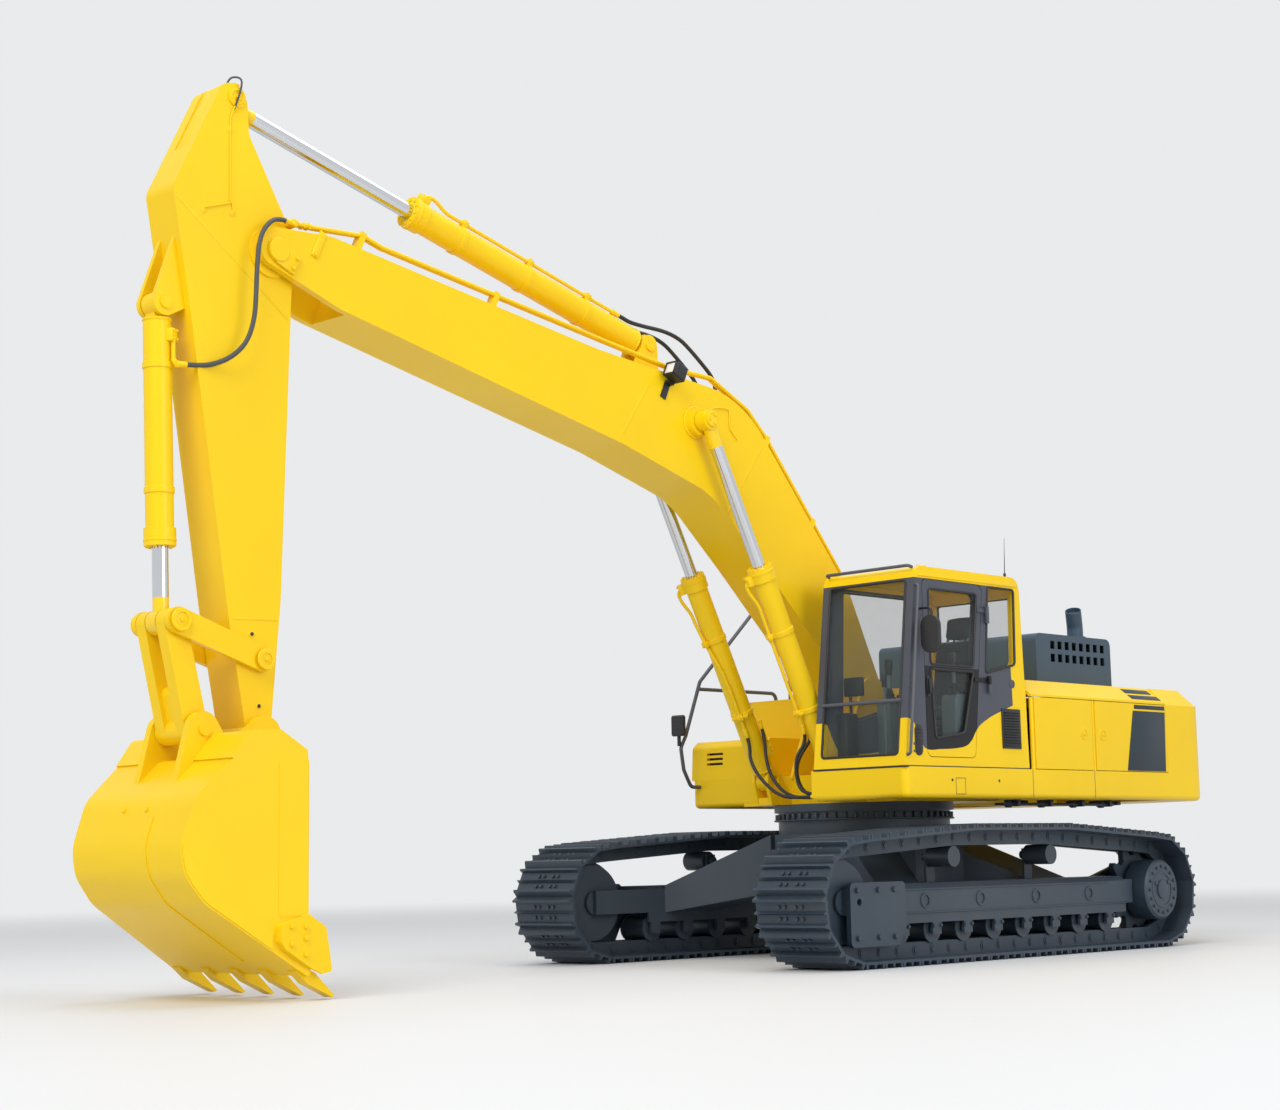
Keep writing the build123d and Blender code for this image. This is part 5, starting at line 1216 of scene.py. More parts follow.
    def _mirror_glass(self) -> None:
        """Builds the mirrors' glasses on their rear faces."""
        glass = Shaper()
        centre = Vector((1.040, 1.610, 2.650))
        rim = [centre + Vector((0.0, across, up)) for across, up in oval(0.075, 0.064, 40)]
        glass.plate(rim, (-0.003, 0.0, 0.0), 0.001)
        glass.box((0.877, -1.445, 2.005), (0.8815, -1.335, 2.145), 0.001)
        glass.piece("mirror_glasses", Finish.MIRROR, self.body, "rod_chrome")

    def _controls(self) -> None:
        """Builds the lever boots, arm rests, screen and floor mat."""
        boot = [(0.0, 0.0), (0.0, 0.055), (0.02, 0.055), (0.03, 0.042), (0.045, 0.046), (0.06, 0.032)]
        boot += [(0.075, 0.035), (0.10, 0.018), (0.10, 0.0)]
        grip = [(0.0, 0.0), (0.0, 0.026), (0.05, 0.034), (0.10, 0.036)]
        grip += [(0.135, 0.03), (0.148, 0.015), (0.148, 0.0)]
        trim, pads = Shaper(), Shaper()
        for side in (-1, 1):
            y = self.seat_middle + side * 0.345
            for profile, z in ((boot, 2.193), (grip, 2.405)):
                trim.turned(profile, (0.41, y, z), UP, 28)
            pads.box((-0.22, y - 0.055, 2.192), (0.26, y + 0.055, 2.25), 0.022)
            y = self.seat_middle + side * 0.109
            trim.rod((0.78, y, 2.27), (0.78, y, 2.39), 0.022, 20, 0.008)
        trim.box((0.93, 0.60, 2.20), (0.97, 0.80, 2.36), 0.012)
        trim.rod((0.95, 0.66, 2.05), (0.95, 0.66, 2.22), 0.014, 16)
        trim.box((0.90, 0.584, 1.64), (1.06, 0.70, 2.06), 0.02)
        trim.piece("cab_controls", Finish.BLACK, self.body, "trim_plastic")
        pads.piece("arm_rests", Finish.RUBBER, self.body, "seat_cloth")
        mat = Shaper()
        mat.box((-0.38, 0.586, self.floor - 0.002), (1.20, 1.414, self.floor + 0.008), 0.003)
        mat.piece("floor_mat", Finish.RUBBER, self.body, "lamp_plastic")


@dataclass
class Seat:
    """Operator's seat: padded cushion, back and head rest on a bellows base."""

    x: float = 0.080
    y: float = 1.000
    floor: float = 1.635
    bellows: int = 7
    fold: float = 0.043
    rounding: float = 0.32
    voxel: float = 0.014
    frames: int = 20
    pressure: float = 4.0
    most_swell: float = 0.010
    fill: float = 0.8
    body: str = "upper"

    def build(self) -> None:
        """Builds the seat in place of its plain solid."""
        base = self._base()
        pads = [
            self._pad("seat_cushion", (-0.235, -0.245, 0.362), (0.285, 0.245, 0.478), 0.0),
            self._pad("seat_back", (-0.262, -0.238, 0.47), (-0.138, 0.238, 1.075), -0.115),
            self._pad("seat_head_rest", (-0.312, -0.13, 1.09), (-0.208, 0.13, 1.275), -0.04),
        ]
        for piece in (base, *pads):
            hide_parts("seat")

    def _at(self, x: float, y: float, z: float) -> Point:
        """Returns a point given from the seat's place on the floor."""
        return self.x + x, self.y + y, self.floor + z

    def _base(self) -> bpy.types.Object:
        """Builds the bellows, the frame under the cushion and the head rest's stalks.

        Returns:
            The base.
        """
        base = Shaper()
        for row in range(self.bellows):
            z = 0.012 + self.fold * row
            inset = 0.02 * (row % 2)
            low = self._at(-0.19 + inset, -0.20 + inset, z)
            base.box(low, self._at(0.24 - inset, 0.20 - inset, z + self.fold), 0.012)
        base.box(self._at(-0.22, -0.235, 0.312), self._at(0.27, 0.235, 0.36), 0.015)
        for y in (-0.06, 0.06):
            base.rod(self._at(-0.235, y, 1.03), self._at(-0.258, y, 1.14), 0.009, 16)
        return base.piece("seat_base", Finish.BLACK, self.body, "trim_plastic")

    def _pad(self, name: str, low: Point, high: Point, lean: float) -> bpy.types.Object:
        """Builds one cushion, blown up by cloth pressure.

        Args:
            name: Piece name.
            low: Lowest corner, from the seat's place on the floor.
            high: Highest corner.
            lean: Shift backwards at its top.

        Returns:
            The cushion.
        """
        part = bmesh.new()
        size = Vector(high) - Vector(low)
        bmesh.ops.create_cube(part, size=1.0, matrix=Matrix.Diagonal((*size, 1.0)))
        soften(part, self.rounding * min(size), 4)
        middle = (Vector(low) + Vector(high)) / 2 + Vector((self.x, self.y, self.floor))
        for vert in part.verts:
            vert.co.x += lean * vert.co.z / size.z
        bmesh.ops.translate(part, vec=middle, verts=part.verts)
        data = bpy.data.meshes.new(name)
        part.to_mesh(data)
        part.free()
        pad = bpy.data.objects.new(name, data)
        bpy.context.scene.collection.objects.link(pad)
        self._inflate(pad)
        bpy.context.scene.collection.objects.unlink(pad)
        pad.data.shade_smooth()
        settle(pad, Finish.CLOTH, self.body)
        return pad

    def _inflate(self, pad: bpy.types.Object) -> None:
        """Remeshes a pad and lets pressure crown its faces.

        Args:
            pad: Linked mesh object, changed in place.
        """
        scene = bpy.context.scene
        remesh = pad.modifiers.new("even", "REMESH")
        remesh.mode = "VOXEL"
        remesh.voxel_size = self.voxel
        even = bpy.data.meshes.new_from_object(pad.evaluated_get(bpy.context.evaluated_depsgraph_get()))
        pad.modifiers.clear()
        pad.data = even
        rest = [vertex.co.copy() for vertex in even.vertices]
        cloth = pad.modifiers.new("blow", "CLOTH")
        cloth.settings.use_pressure = True
        cloth.settings.uniform_pressure_force = self.pressure
        cloth.settings.effector_weights.gravity = 0.0
        cloth.point_cache.frame_start = 1
        cloth.point_cache.frame_end = self.frames
        for frame in range(1, self.frames + 1):
            scene.frame_set(frame)
        blown = pad.evaluated_get(bpy.context.evaluated_depsgraph_get()).to_mesh()
        for vertex, start, moved in zip(even.vertices, rest, blown.vertices):
            shift = moved.co - start
            vertex.co = start + shift * min(1.0, self.most_swell / max(shift.length, 1e-9))
        pad.modifiers.clear()
        scene.frame_set(1)


# Hydraulic cylinders


@dataclass(frozen=True)
class Ram:
    """One hydraulic cylinder: its pins, its thicknesses and the two bodies it is made of."""

    name: str
    foot: Flat
    head: Flat
    y: float
    closed: float
    barrel: float
    gland: float
    rod: float
    eye: float
    barrel_body: str
    rod_body: str
    head_room: float = 0.230
    collar: float = 0.165

    @property
    def span(self) -> Vector:
        """Vector from the foot pin to the head pin."""
        return Vector((self.head[0] - self.foot[0], 0.0, self.head[1] - self.foot[1]))

    @property
    def along(self) -> Vector:
        """Direction from the foot to the head."""
        return self.span.normalized()

    @property
    def up(self) -> Vector:
        """Direction square to the cylinder in side view."""
        return Vector((-self.along.z, 0.0, self.along.x))

    @property
    def mouth(self) -> float:
        """Distance from the foot pin to the barrel's open end."""
        return self.closed * self.span.length - self.head_room

    def out(self, angle: float) -> Vector:
        """Returns the direction out of the cylinder at an angle.

        Args:
            angle: Degrees from up towards the machine's left.

        Returns:
            The direction.
        """
        turn = math.radians(angle)
        return self.up * math.cos(turn) + LEFT * math.sin(turn)

    def at(self, run: float, reach: float = 0.0, angle: float = 0.0) -> Vector:
        """Returns a point beside the cylinder.

        Args:
            run: Distance from the foot pin.
            reach: Distance from the axis.
            angle: Degrees from up towards the machine's left.

        Returns:
            The point.
        """
        start = Vector((self.foot[0], self.y, self.foot[1]))
        return start + self.along * run + self.out(angle) * reach

    def axes(self, angle: float) -> Matrix:
        """Returns the turn whose x runs along the cylinder and whose z points out at an angle."""
        out = self.out(angle)
        return turned_axes(self.along, out.cross(self.along), out)

    def chrome(self) -> Coating:
        """Returns the rod's plating with the painted head."""
        start = self.at(self.span.length - self.collar)
        return Coating(
            f"{self.name}_plating", CHROME_BRIGHT, CHROME_DULL, 0.13, 0.04, metallic=1.0, grain_depth=0.0002,
            pattern=Pattern.SLEEVE, second=PAINT_YELLOW, sleeve=(tuple(start), tuple(self.along)))


BOOM_RAM_LEFT = Ram(
    "boom_ram_left", (0.860, 1.530), LIFT_PIN, 0.385, 0.668, 0.093, 0.108, 0.055, 0.086,
    "boom_cylinder_left", "boom_rod_left", collar=0.235)
BOOM_RAM_RIGHT = replace(
    BOOM_RAM_LEFT, name="boom_ram_right", y=-0.385, barrel_body="boom_cylinder_right",
    rod_body="boom_rod_right")
ARM_RAM = Ram(
    "arm_ram", BOOM.pin(3.497, 1.518), ARM.pin(*ARM_ROD_PIN), 0.0, 0.649, 0.110, 0.124, 0.060, 0.098,
    "arm_cylinder", "arm_rod", collar=0.25)
BUCKET_RAM = Ram(
    "bucket_ram", ARM.pin(0.498, 0.805), LINK_HEAD, 0.0, 0.870, 0.095, 0.108, 0.055, 0.086,
    "bucket_cylinder", "bucket_rod")
RAMS = (BOOM_RAM_LEFT, BOOM_RAM_RIGHT, ARM_RAM, BUCKET_RAM)


@dataclass
class RamFittings:
    """Gland bolts, ports, bands and pipes of one cylinder."""

    ram: Ram
    port_angle: float
    base_angle: float
    wrap: float
    pipe_end: float
    bands: tuple[float, ...]
    pipe_radius: float = 0.015
    base_run: float = 0.27
    wing: float = 0.0
    stand_off: float = 0.025
    port_back: float = 0.08
    band_width: float = 0.045

    def build(self) -> None:
        """Builds every fitting of the cylinder."""
        self._metalwork()
        self._pipes()

    def _metalwork(self) -> None:
        """Builds gland bolts, weld beads, port blocks and bands."""
        ram, trim = self.ram, Shaper()
        trim.bolt_ring(ram.at(ram.mouth), ram.along, (ram.rod + ram.gland) / 2 + 0.004, 10, 0.011)
        trim.ring(ram.at(ram.mouth - 0.128), ram.along, ram.barrel - 0.004, ram.barrel + 0.007, 0.014)
        trim.ring(ram.at(ram.mouth - 0.05), ram.along, ram.gland - 0.004, ram.gland + 0.004, 0.02)
        trim.ring(ram.at(1.15 * ram.eye + 0.004), ram.along, ram.barrel - 0.01, ram.barrel + 0.006, 0.016)
        ports = (
            (ram.mouth - self.port_back, ram.gland, self.port_angle),
            (self.base_run, ram.barrel, self.base_angle),
        )
        for run, radius, angle in ports:
            seat = ram.at(run, radius + 0.014, angle)
            trim.brick(seat, (0.088, 0.075, 0.05), ram.axes(angle), 0.006)
            for x, y in product((-0.03, 0.03), (-0.024, 0.024)):
                corner = seat + ram.axes(angle).to_3x3() @ Vector((x, y, 0.025))
                trim.rod(corner - ram.out(angle) * 0.002, corner + ram.out(angle) * 0.012, 0.009, 6, 0.001)
        for run in self.bands:
            trim.ring(ram.at(run), ram.along, ram.barrel - 0.002, ram.barrel + 0.008, self.band_width)
            angle = self._angle(run)
            block = ram.at(run + 0.022, ram.barrel + 0.026, angle)
            trim.brick(block, (0.05, 0.06, 0.05), ram.axes(angle), 0.006)
            trim.hexagon(ram.at(run + 0.022, ram.barrel + 0.05, angle), ram.out(angle), 0.012, 0.012)
        if self.wing:
            angle = self._angle(self.bands[-1])
            plate = ram.at(self.bands[-1] + 0.022, ram.barrel + 0.012, angle)
            trim.brick(plate, (0.028, self.wing, 0.05), ram.axes(angle), 0.006)
        trim.piece(f"{ram.name}_fittings", Finish.YELLOW, ram.barrel_body, "yellow_paint")

    def _angle(self, run: float) -> float:
        """Returns the pipe's angle round the barrel.

        Args:
            run: Distance from the foot pin.

        Returns:
            Degrees from up towards the machine's left.
        """
        start, end = self.ram.mouth - 0.30, 0.55 * self.ram.mouth
        share = min(max((start - run) / (start - end), 0.0), 1.0)
        return self.port_angle + self.wrap * share

    def _pipes(self) -> None:
        """Builds the long pipe from the gland's port and the short one from the base port."""
        ram, angle = self.ram, self.port_angle
        close, wide, port = ram.barrel + self.stand_off, ram.gland + 0.055, ram.mouth - self.port_back
        long = [ram.at(port, ram.gland, angle), ram.at(port, wide, angle)]
        long += [ram.at(ram.mouth - 0.18, wide, angle), ram.at(ram.mouth - 0.30, close, angle)]
        for run in spread(6, ram.mouth - 0.40, self.pipe_end):
            long.append(ram.at(run, close, self._angle(run)))
        short = [ram.at(run, close, self.base_angle) for run in spread(4, self.base_run, self.pipe_end)]
        pipes(
            f"{ram.name}_pipes", [long, short], self.pipe_radius, Finish.YELLOW, ram.barrel_body)

    def pipe_ends(self) -> list[Vector]:
        """Returns where the two pipes end."""
        reach, angles = self.ram.barrel + self.stand_off, (self._angle(self.pipe_end), self.base_angle)
        return [self.ram.at(self.pipe_end, reach, angle) for angle in angles]


RAM_FITTINGS = {
    "boom_left": RamFittings(BOOM_RAM_LEFT, -150.0, -50.0, 0.0, 0.52, (1.35, 0.64), wing=0.15),
    "boom_right": RamFittings(BOOM_RAM_RIGHT, 225.0, 50.0, -75.0, 0.52, (1.35, 0.64), wing=0.15),
    "arm": RamFittings(ARM_RAM, 22.0, -35.0, 0.0, 0.40, (2.05, 1.35, 0.70)),
    "bucket": RamFittings(BUCKET_RAM, -125.0, 118.0, 0.0, 0.40, (1.25, 0.40), base_run=0.22),
}


# Boom, arm and bucket


@dataclass
class FrontWork:
    """Weld seams, pin covers, pipe fittings, grease lines, lamp, bucket plates and bolts.

    The two bucket lines are corners (x, z, radius of the rounding) from the bucket's pin.
    """

    boom_half: float = 0.250
    arm_half: float = 0.165
    bucket_half: float = 0.745
    slot_half: float = 0.0655
    bucket_taper: float = 0.1211
    link_face: float = 0.236
    bucket_back: tuple[Point, ...] = (
        (0.870, -0.55, 0.0), (0.936, -0.741, 0.300), (0.905, -0.925, 0.260), (0.767, -1.107, 0.300),
        (0.163, -1.50, 0.0))
    band_edge: tuple[Point, ...] = (
        (0.915, -0.73, 0.0), (0.919, -0.79, 0.120), (0.893, -0.924, 0.250), (0.758, -1.097, 0.290),
        (0.28, -1.412, 0.0))
    wear_half: float = 0.240
    wear_sink: float = 0.009
    wear_proud: float = 0.008
    bead_width: float = 0.014
    bead_height: float = 0.003
    grease_radius: float = 0.005

    def build(self) -> None:
        """Builds every fitting of the boom, the arm and the bucket."""
        self._boom_seams()
        self._boom_pins()
        self._pipe_fittings()
        self._lamp()
        self._arm_lines()
        self._arm_seams()
        self._bucket_sides()
        self._bucket_back()

    def _bead(self, trim: Shaper, start: Vector, end: Vector) -> None:
        """Adds a low weld bead between two points of one side.

        Args:
            trim: Piece to add to.
            start: One end, on the surface.
            end: Other end, on the surface.
        """
        side = LEFT if start.y > 0 else -LEFT
        along = (end - start).normalized()
        size = ((end - start).length, self.bead_width, 2 * self.bead_height)
        turn = turned_axes(along, side.cross(along), side)
        trim.brick((start + end) / 2, size, turn, 0.8 * self.bead_height)

    def _boom_seams(self) -> None:
        """Builds the weld seams of the boom's side plates."""
        trim = Shaper()
        for side in (1, -1):
            y = side * self.boom_half
            for (x0, z0), (x1, z1) in (((1.533, 4.339), (1.988, 3.725)), ((2.895, 4.709), (3.230, 4.235))):
                self._bead(trim, Vector((x0, y, z0)), Vector((x1, y, z1)))
            lift = Vector((LIFT_PIN[0], y, LIFT_PIN[1]))
            trim.ring(lift - LEFT * side * 0.004, LEFT * side, 0.118, 0.138, 0.022)
        trim.piece("boom_seams", Finish.YELLOW, "boom", "yellow_paint")
        line = [
            (2.184, 0.254, 4.585), (2.06, 0.256, 4.615), (1.96, 0.257, 4.607), (1.942, 0.257, 4.59),
            (1.945, 0.257, 4.46), (1.94, 0.257, 4.44), (1.851, 0.254, 4.361)]
        pipes("boom_grease_line", [line], self.grease_radius, Finish.YELLOW, "boom")

    def _boom_pins(self) -> None:
        """Builds the covers and keepers of the tip pin and the cylinder pins."""
        trim = Shaper()
        cover = [(-0.022, 0.0), (-0.022, 0.086), (0.008, 0.086), (0.013, 0.080), (0.013, 0.0)]
        keeper, strap = BOOM_LENGTH - 0.10, BOOM_LENGTH - 0.28
        for side in (1, -1):
            out = LEFT * side
            trim.turned(cover, TIP + out * (self.boom_half + 0.020), out, 36)
            tail = BOOM.at(keeper, -0.015, side * (self.boom_half + 0.012))
            trim.brick(tail, (0.17, 0.155, 0.024), BOOM.axes, 0.006)
            for up in (-0.055, 0.03):
                seat = BOOM.at(keeper - 0.055, up, side * (self.boom_half + 0.024))
                trim.hexagon(seat, out, 0.017, 0.018)
            plate = BOOM.at(strap, 0.24, side * (self.boom_half + 0.006))
            trim.brick(plate, (0.06, 0.21, 0.014), BOOM.axes, 0.003)
            trim.hexagon(BOOM.at(strap, 0.155, side * (self.boom_half + 0.013)), out, 0.015, 0.014)
        trim.piece("boom_pin_covers", Finish.YELLOW, "boom", "yellow_paint")
        for ram in (BOOM_RAM_LEFT, BOOM_RAM_RIGHT):
            out = LEFT if ram.y > 0 else -LEFT
            cap = Shaper()
            face = ram.at(ram.span.length) + out * 0.072
            cap.bolt_ring(face, out, 0.038, 3, 0.011)
            cap.ring(face - out * 0.006, out, 0.052, 0.062, 0.010)
            cap.piece(f"{ram.name}_cap", Finish.YELLOW, ram.rod_body, "yellow_paint")

    def _pipe_fittings(self) -> None:
        """Builds unions, clamp bolts and the end block of the boom's pipes."""
        trim, turn = Shaper(), BOOM.axes
        trim.brick(BOOM.at(BOOM_LENGTH - 0.05, 0.272, 0.210), (0.05, 0.05, 0.085), turn, 0.008)
        for along, up in ((BOOM_LENGTH - 0.13, 0.310), (BOOM_LENGTH - 0.17, 0.329)):
            for y in (0.228, 0.192):
                aim = BOOM.aim(0.91, -0.41) * 0.013
                trim.rod(BOOM.at(along, up, y) - aim, BOOM.at(along, up, y) + aim, 0.023, 6, 0.002)
        foot = BOOM.at(2.66, 1.50, 0.0)
        trim.brick(foot, (0.13, 0.10, 0.34), turn, 0.012)
        for y in (-0.10, 0.10):
            trim.rod(BOOM.at(2.66, 1.52, y), BOOM.at(2.657, 1.565, y), 0.026, 6, 0.003)
        trim.piece("boom_pipe_fittings", Finish.YELLOW, "boom", "yellow_paint")

    def _lamp(self) -> None:
        """Builds the work lamp's bezel and lens on its front."""
        turn = BOOM.axes
        front = BOOM.at(3.410, 1.300, 0.345)
        bezel, lens = Shaper(), Shaper()
        for aim, size in ((LEFT, (0.02, 0.014, 0.122)), (UP, (0.02, 0.122, 0.014))):
            for reach in (0.054, -0.054):
                bezel.brick(front + turn @ (Vector((0.002, 0.0, 0.0)) + aim * reach), size, turn, 0.004)
        bezel.piece("work_lamp_bezel", Finish.BLACK, "boom", "lamp_plastic")
        lens.brick(front, (0.008, 0.10, 0.10), turn, 0.003)
        lens.piece("work_lamp_lens", Finish.LENS, "boom", "window")

    def _arm_lines(self) -> None:
        """Builds the grease lines, their blocks, black discs painted as the shade inside the port holes, and
        the loop over the arm's head.
        """
        y = self.arm_half + 0.006
        lines = [
            [(6.925, y + 0.012, 6.12), (6.955, y, 6.05), (6.958, y, 5.94), (6.956, y, 5.70), (6.955, y, 5.47),
             (6.955, y, 5.44), (6.93, y, 5.425), (7.14, y, 5.36), (7.169, y, 5.345)],
            [(6.93, y, 5.354), (6.93, y, 5.40), (6.94, y, 5.42)],
        ]
        pipes("arm_grease_lines", lines, self.grease_radius, Finish.YELLOW, "arm")
        loop = [
            (6.925, y, 6.10), (6.915, y + 0.03, 6.16), (6.885, y + 0.035, 6.27), (6.878, y + 0.02, 6.325),
            (6.905, 0.16, 6.342), (6.94, 0.13, 6.33), (6.95, 0.115, 6.285)]
        pipes("arm_grease_loop", [loop], 0.007, Finish.GREY_HOSE, "arm")
        trim = Shaper()
        ports = ((6.757, 2.44), (6.697, 1.952))
        for x, z in ((6.918, 6.105), (6.956, 5.95), (7.169, 5.33), (6.93, 5.354), *ports):
            for side in (1, -1):
                seat = Vector((x, side * self.arm_half, z))
                trim.rod(seat, seat + LEFT * side * 0.004, 0.024, 20, 0.001)
                trim.rod(seat, seat + LEFT * side * 0.006, 0.013, 6, 0.001)
        trim.piece("arm_grease_blocks", Finish.YELLOW, "arm", "yellow_paint")
        # Black discs on the port bosses: painted shade standing in for the dark inside of the holes.
        hole_shade = Shaper()
        for x, z in ports:
            for side in (1, -1):
                seat = Vector((x, side * (self.arm_half + 0.004), z))
                hole_shade.rod(seat, seat + LEFT * side * 0.0026, 0.014, 20, 0.0005)
        hole_shade.piece("arm_grease_hole_shade", Finish.BLACK, "arm", "dark_paint")

    def _arm_seams(self) -> None:
        """Builds the arm's weld seams, the keepers of the rod's pin and the plate over the head's slot."""
        trim = Shaper()
        for side in (1, -1):
            y = side * self.arm_half
            for (a0, u0), (a1, u1) in (((2.58, -0.135), (2.60, 0.235)), ((-0.245, 0.785), (0.455, -0.165))):
                self._bead(trim, ARM.at(a0, u0, y), ARM.at(a1, u1, y))
            pin = ARM.at(*ARM_ROD_PIN, side * (self.arm_half + 0.018))
            trim.ring(pin - LEFT * side * 0.004, LEFT * side, 0.044, 0.058, 0.009)
            trim.hexagon(pin, LEFT * side, 0.016, 0.015)
        trim.piece("arm_seams", Finish.YELLOW, "arm", "yellow_paint")
        cover = Shaper()
        corners = [ARM.at(along, up, -self.slot_half) for along, up in (
            (-1.118, 0.436), (-0.62, 0.664), (-0.612, 0.646), (-1.110, 0.418))]
        cover.plate(corners, LEFT * (2 * self.slot_half), 0.003)
        cover.piece("arm_head_plate", Finish.YELLOW, "arm", "yellow_paint")

    def _bucket_sides(self) -> None:
        """Builds the side cutters' bolts, the bucket's side plates and the caps of the link pins."""
        trim = Shaper()
        for side in (1, -1):
            out = LEFT * side
            plate = side * (self.bucket_half + 0.030)
            for x, z in ((6.873, 0.489), (6.761, 0.485), (6.760, 0.409), (6.872, 0.375), (6.760, 0.306)):
                trim.hexagon((x, plate, z), out, 0.019, 0.017)
        trim.piece("cutter_bolts", Finish.YELLOW, "bucket", "yellow_paint")
        plates = Shaper()
        band = [*rounded(self.band_edge), (0.28, -1.30), (0.60, -1.085), (0.72, -0.98), (0.82, -0.85)]
        mouth = [(0.02, -0.205), (0.235, -0.2), (0.235, -1.2), (0.02, -1.2)]
        for side in (1, -1):
            out = Vector((self.bucket_taper, side, 0.0)).normalized()
            for corners, proud in ((band, 0.008), (mouth, 0.005)):
                faces = [self.bucket_half - self.bucket_taper * x - 0.002 for x, _ in corners]
                rim = [BUCKET.at(x, z, side * face) for (x, z), face in zip(corners, faces)]
                plates.plate(rim, out * (proud + 0.002))
        plates.piece("bucket_side_plates", Finish.YELLOW, "bucket", "yellow_paint")
        caps = Shaper()
        for (x, z), radius in ((LINK_HEAD, 0.078), (SIDE_LINK_PIN, 0.072)):
            for side in (1, -1):
                seat, out = Vector((x, side * (self.link_face - 0.002), z)), LEFT * side
                caps.ring(seat, out, radius - 0.028, radius, 0.016)
                caps.rod(seat, seat + out * 0.01, radius - 0.024, 28, 0.002)
                caps.hexagon(seat + out * 0.01, out, 0.016, 0.012)
        caps.piece("link_pin_caps", Finish.YELLOW, "side_links", "yellow_paint")

    def _bucket_back(self) -> None:
        """Builds the wear plate round the bucket's back and floor."""
        trim = Shaper()
        points = [BUCKET.at(x, z, -self.wear_half) for x, z in rounded(self.bucket_back)]
        normals = [
            (after - before).cross(LEFT).normalized()
            for before, after in zip(points[:1] + points[:-1], points[1:] + points[-1:])]
        rim = [point - out * self.wear_sink for point, out in zip(points, normals)]
        rim += [point + out * self.wear_proud for point, out in reversed(list(zip(points, normals)))]
        trim.plate(rim, LEFT * (2 * self.wear_half))
        for y in (-0.13, 0.13):
            seat = BUCKET.at(0.852, -0.5, y)
            trim.hexagon(seat, BUCKET.aim(0.94, 0.34), 0.016, 0.014)
        trim.piece("bucket_wear_plate", Finish.YELLOW, "bucket", "yellow_paint")


# Hoses


@dataclass
class Hose:
    """A free hose between two bodies that one joint joins."""

    name: str
    route: Sequence[Place]
    diameter: float
    finish: Finish
    first: str
    second: str
    slot: str = "lamp_plastic"
    held: float = 0.08
    swage: float = 1.22
    nut: float = 1.5

    def build(self) -> bpy.types.Object:
        """Builds the hose and its end fittings.

        Returns:
            The hose.
        """
        line = self._mesh(tube_curve(f"{self.name}_line", [self.route], 0.0))
        path = [vertex.co.copy() for vertex in line.vertices]
        bpy.data.meshes.remove(line)
        data = self._mesh(tube_curve(f"{self.name}_tube", [self.route], self.diameter / 2))
        data.name = self.name
        data.shade_smooth()
        data.set_sharp_from_angle(angle=math.radians(50.0))
        data.materials.append(self.finish.material)
        hose = bpy.data.objects.new(self.name, data)
        bpy.context.scene.collection.objects.link(hose)
        start, end = (path[0].lerp(path[-1], share) for share in (self.held, 1.0 - self.held))
        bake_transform(hose)
        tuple(start)
        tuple(end)
        length = sum((b - a).length for a, b in zip(path, path[1:]))
        tuple(path[0])
        [tuple(point) for point in path]
        self._fitting(path[0], path[3] - path[0], self.first)
        self._fitting(path[-1], path[-4] - path[-1], self.second)
        LOG.info("%s is %.3f m long", self.name, length)
        return hose

    @staticmethod
    def _mesh(curve: bpy.types.Curve) -> bpy.types.Mesh:
        """Turns a curve into a mesh.

        Args:
            curve: Curve to turn, removed afterwards.

        Returns:
            The mesh.
        """
        thing = bpy.data.objects.new(curve.name, curve)
        mesh = bpy.data.meshes.new_from_object(thing)
        bpy.data.objects.remove(thing)
        bpy.data.curves.remove(curve)
        return mesh

    def _fitting(self, end: Vector, aim: Vector, body: str) -> None:
        """Builds the swaged fitting and its nut at one end.

        Args:
            end: End of the hose.
            aim: Direction into the hose.
            body: Body that the end stays with.
        """
        out = aim.normalized()
        trim, radius = Shaper(), self.diameter / 2
        trim.rod(end - out * 0.012, end + out * 0.05, radius * self.swage, 20, 0.002)
        trim.rod(end - out * 0.03, end - out * 0.008, radius * self.nut, 6, 0.002)
        side = "a" if body == self.first else "b"
        trim.piece(f"{self.name}_fitting_{side}", Finish.YELLOW, body, "yellow_paint")


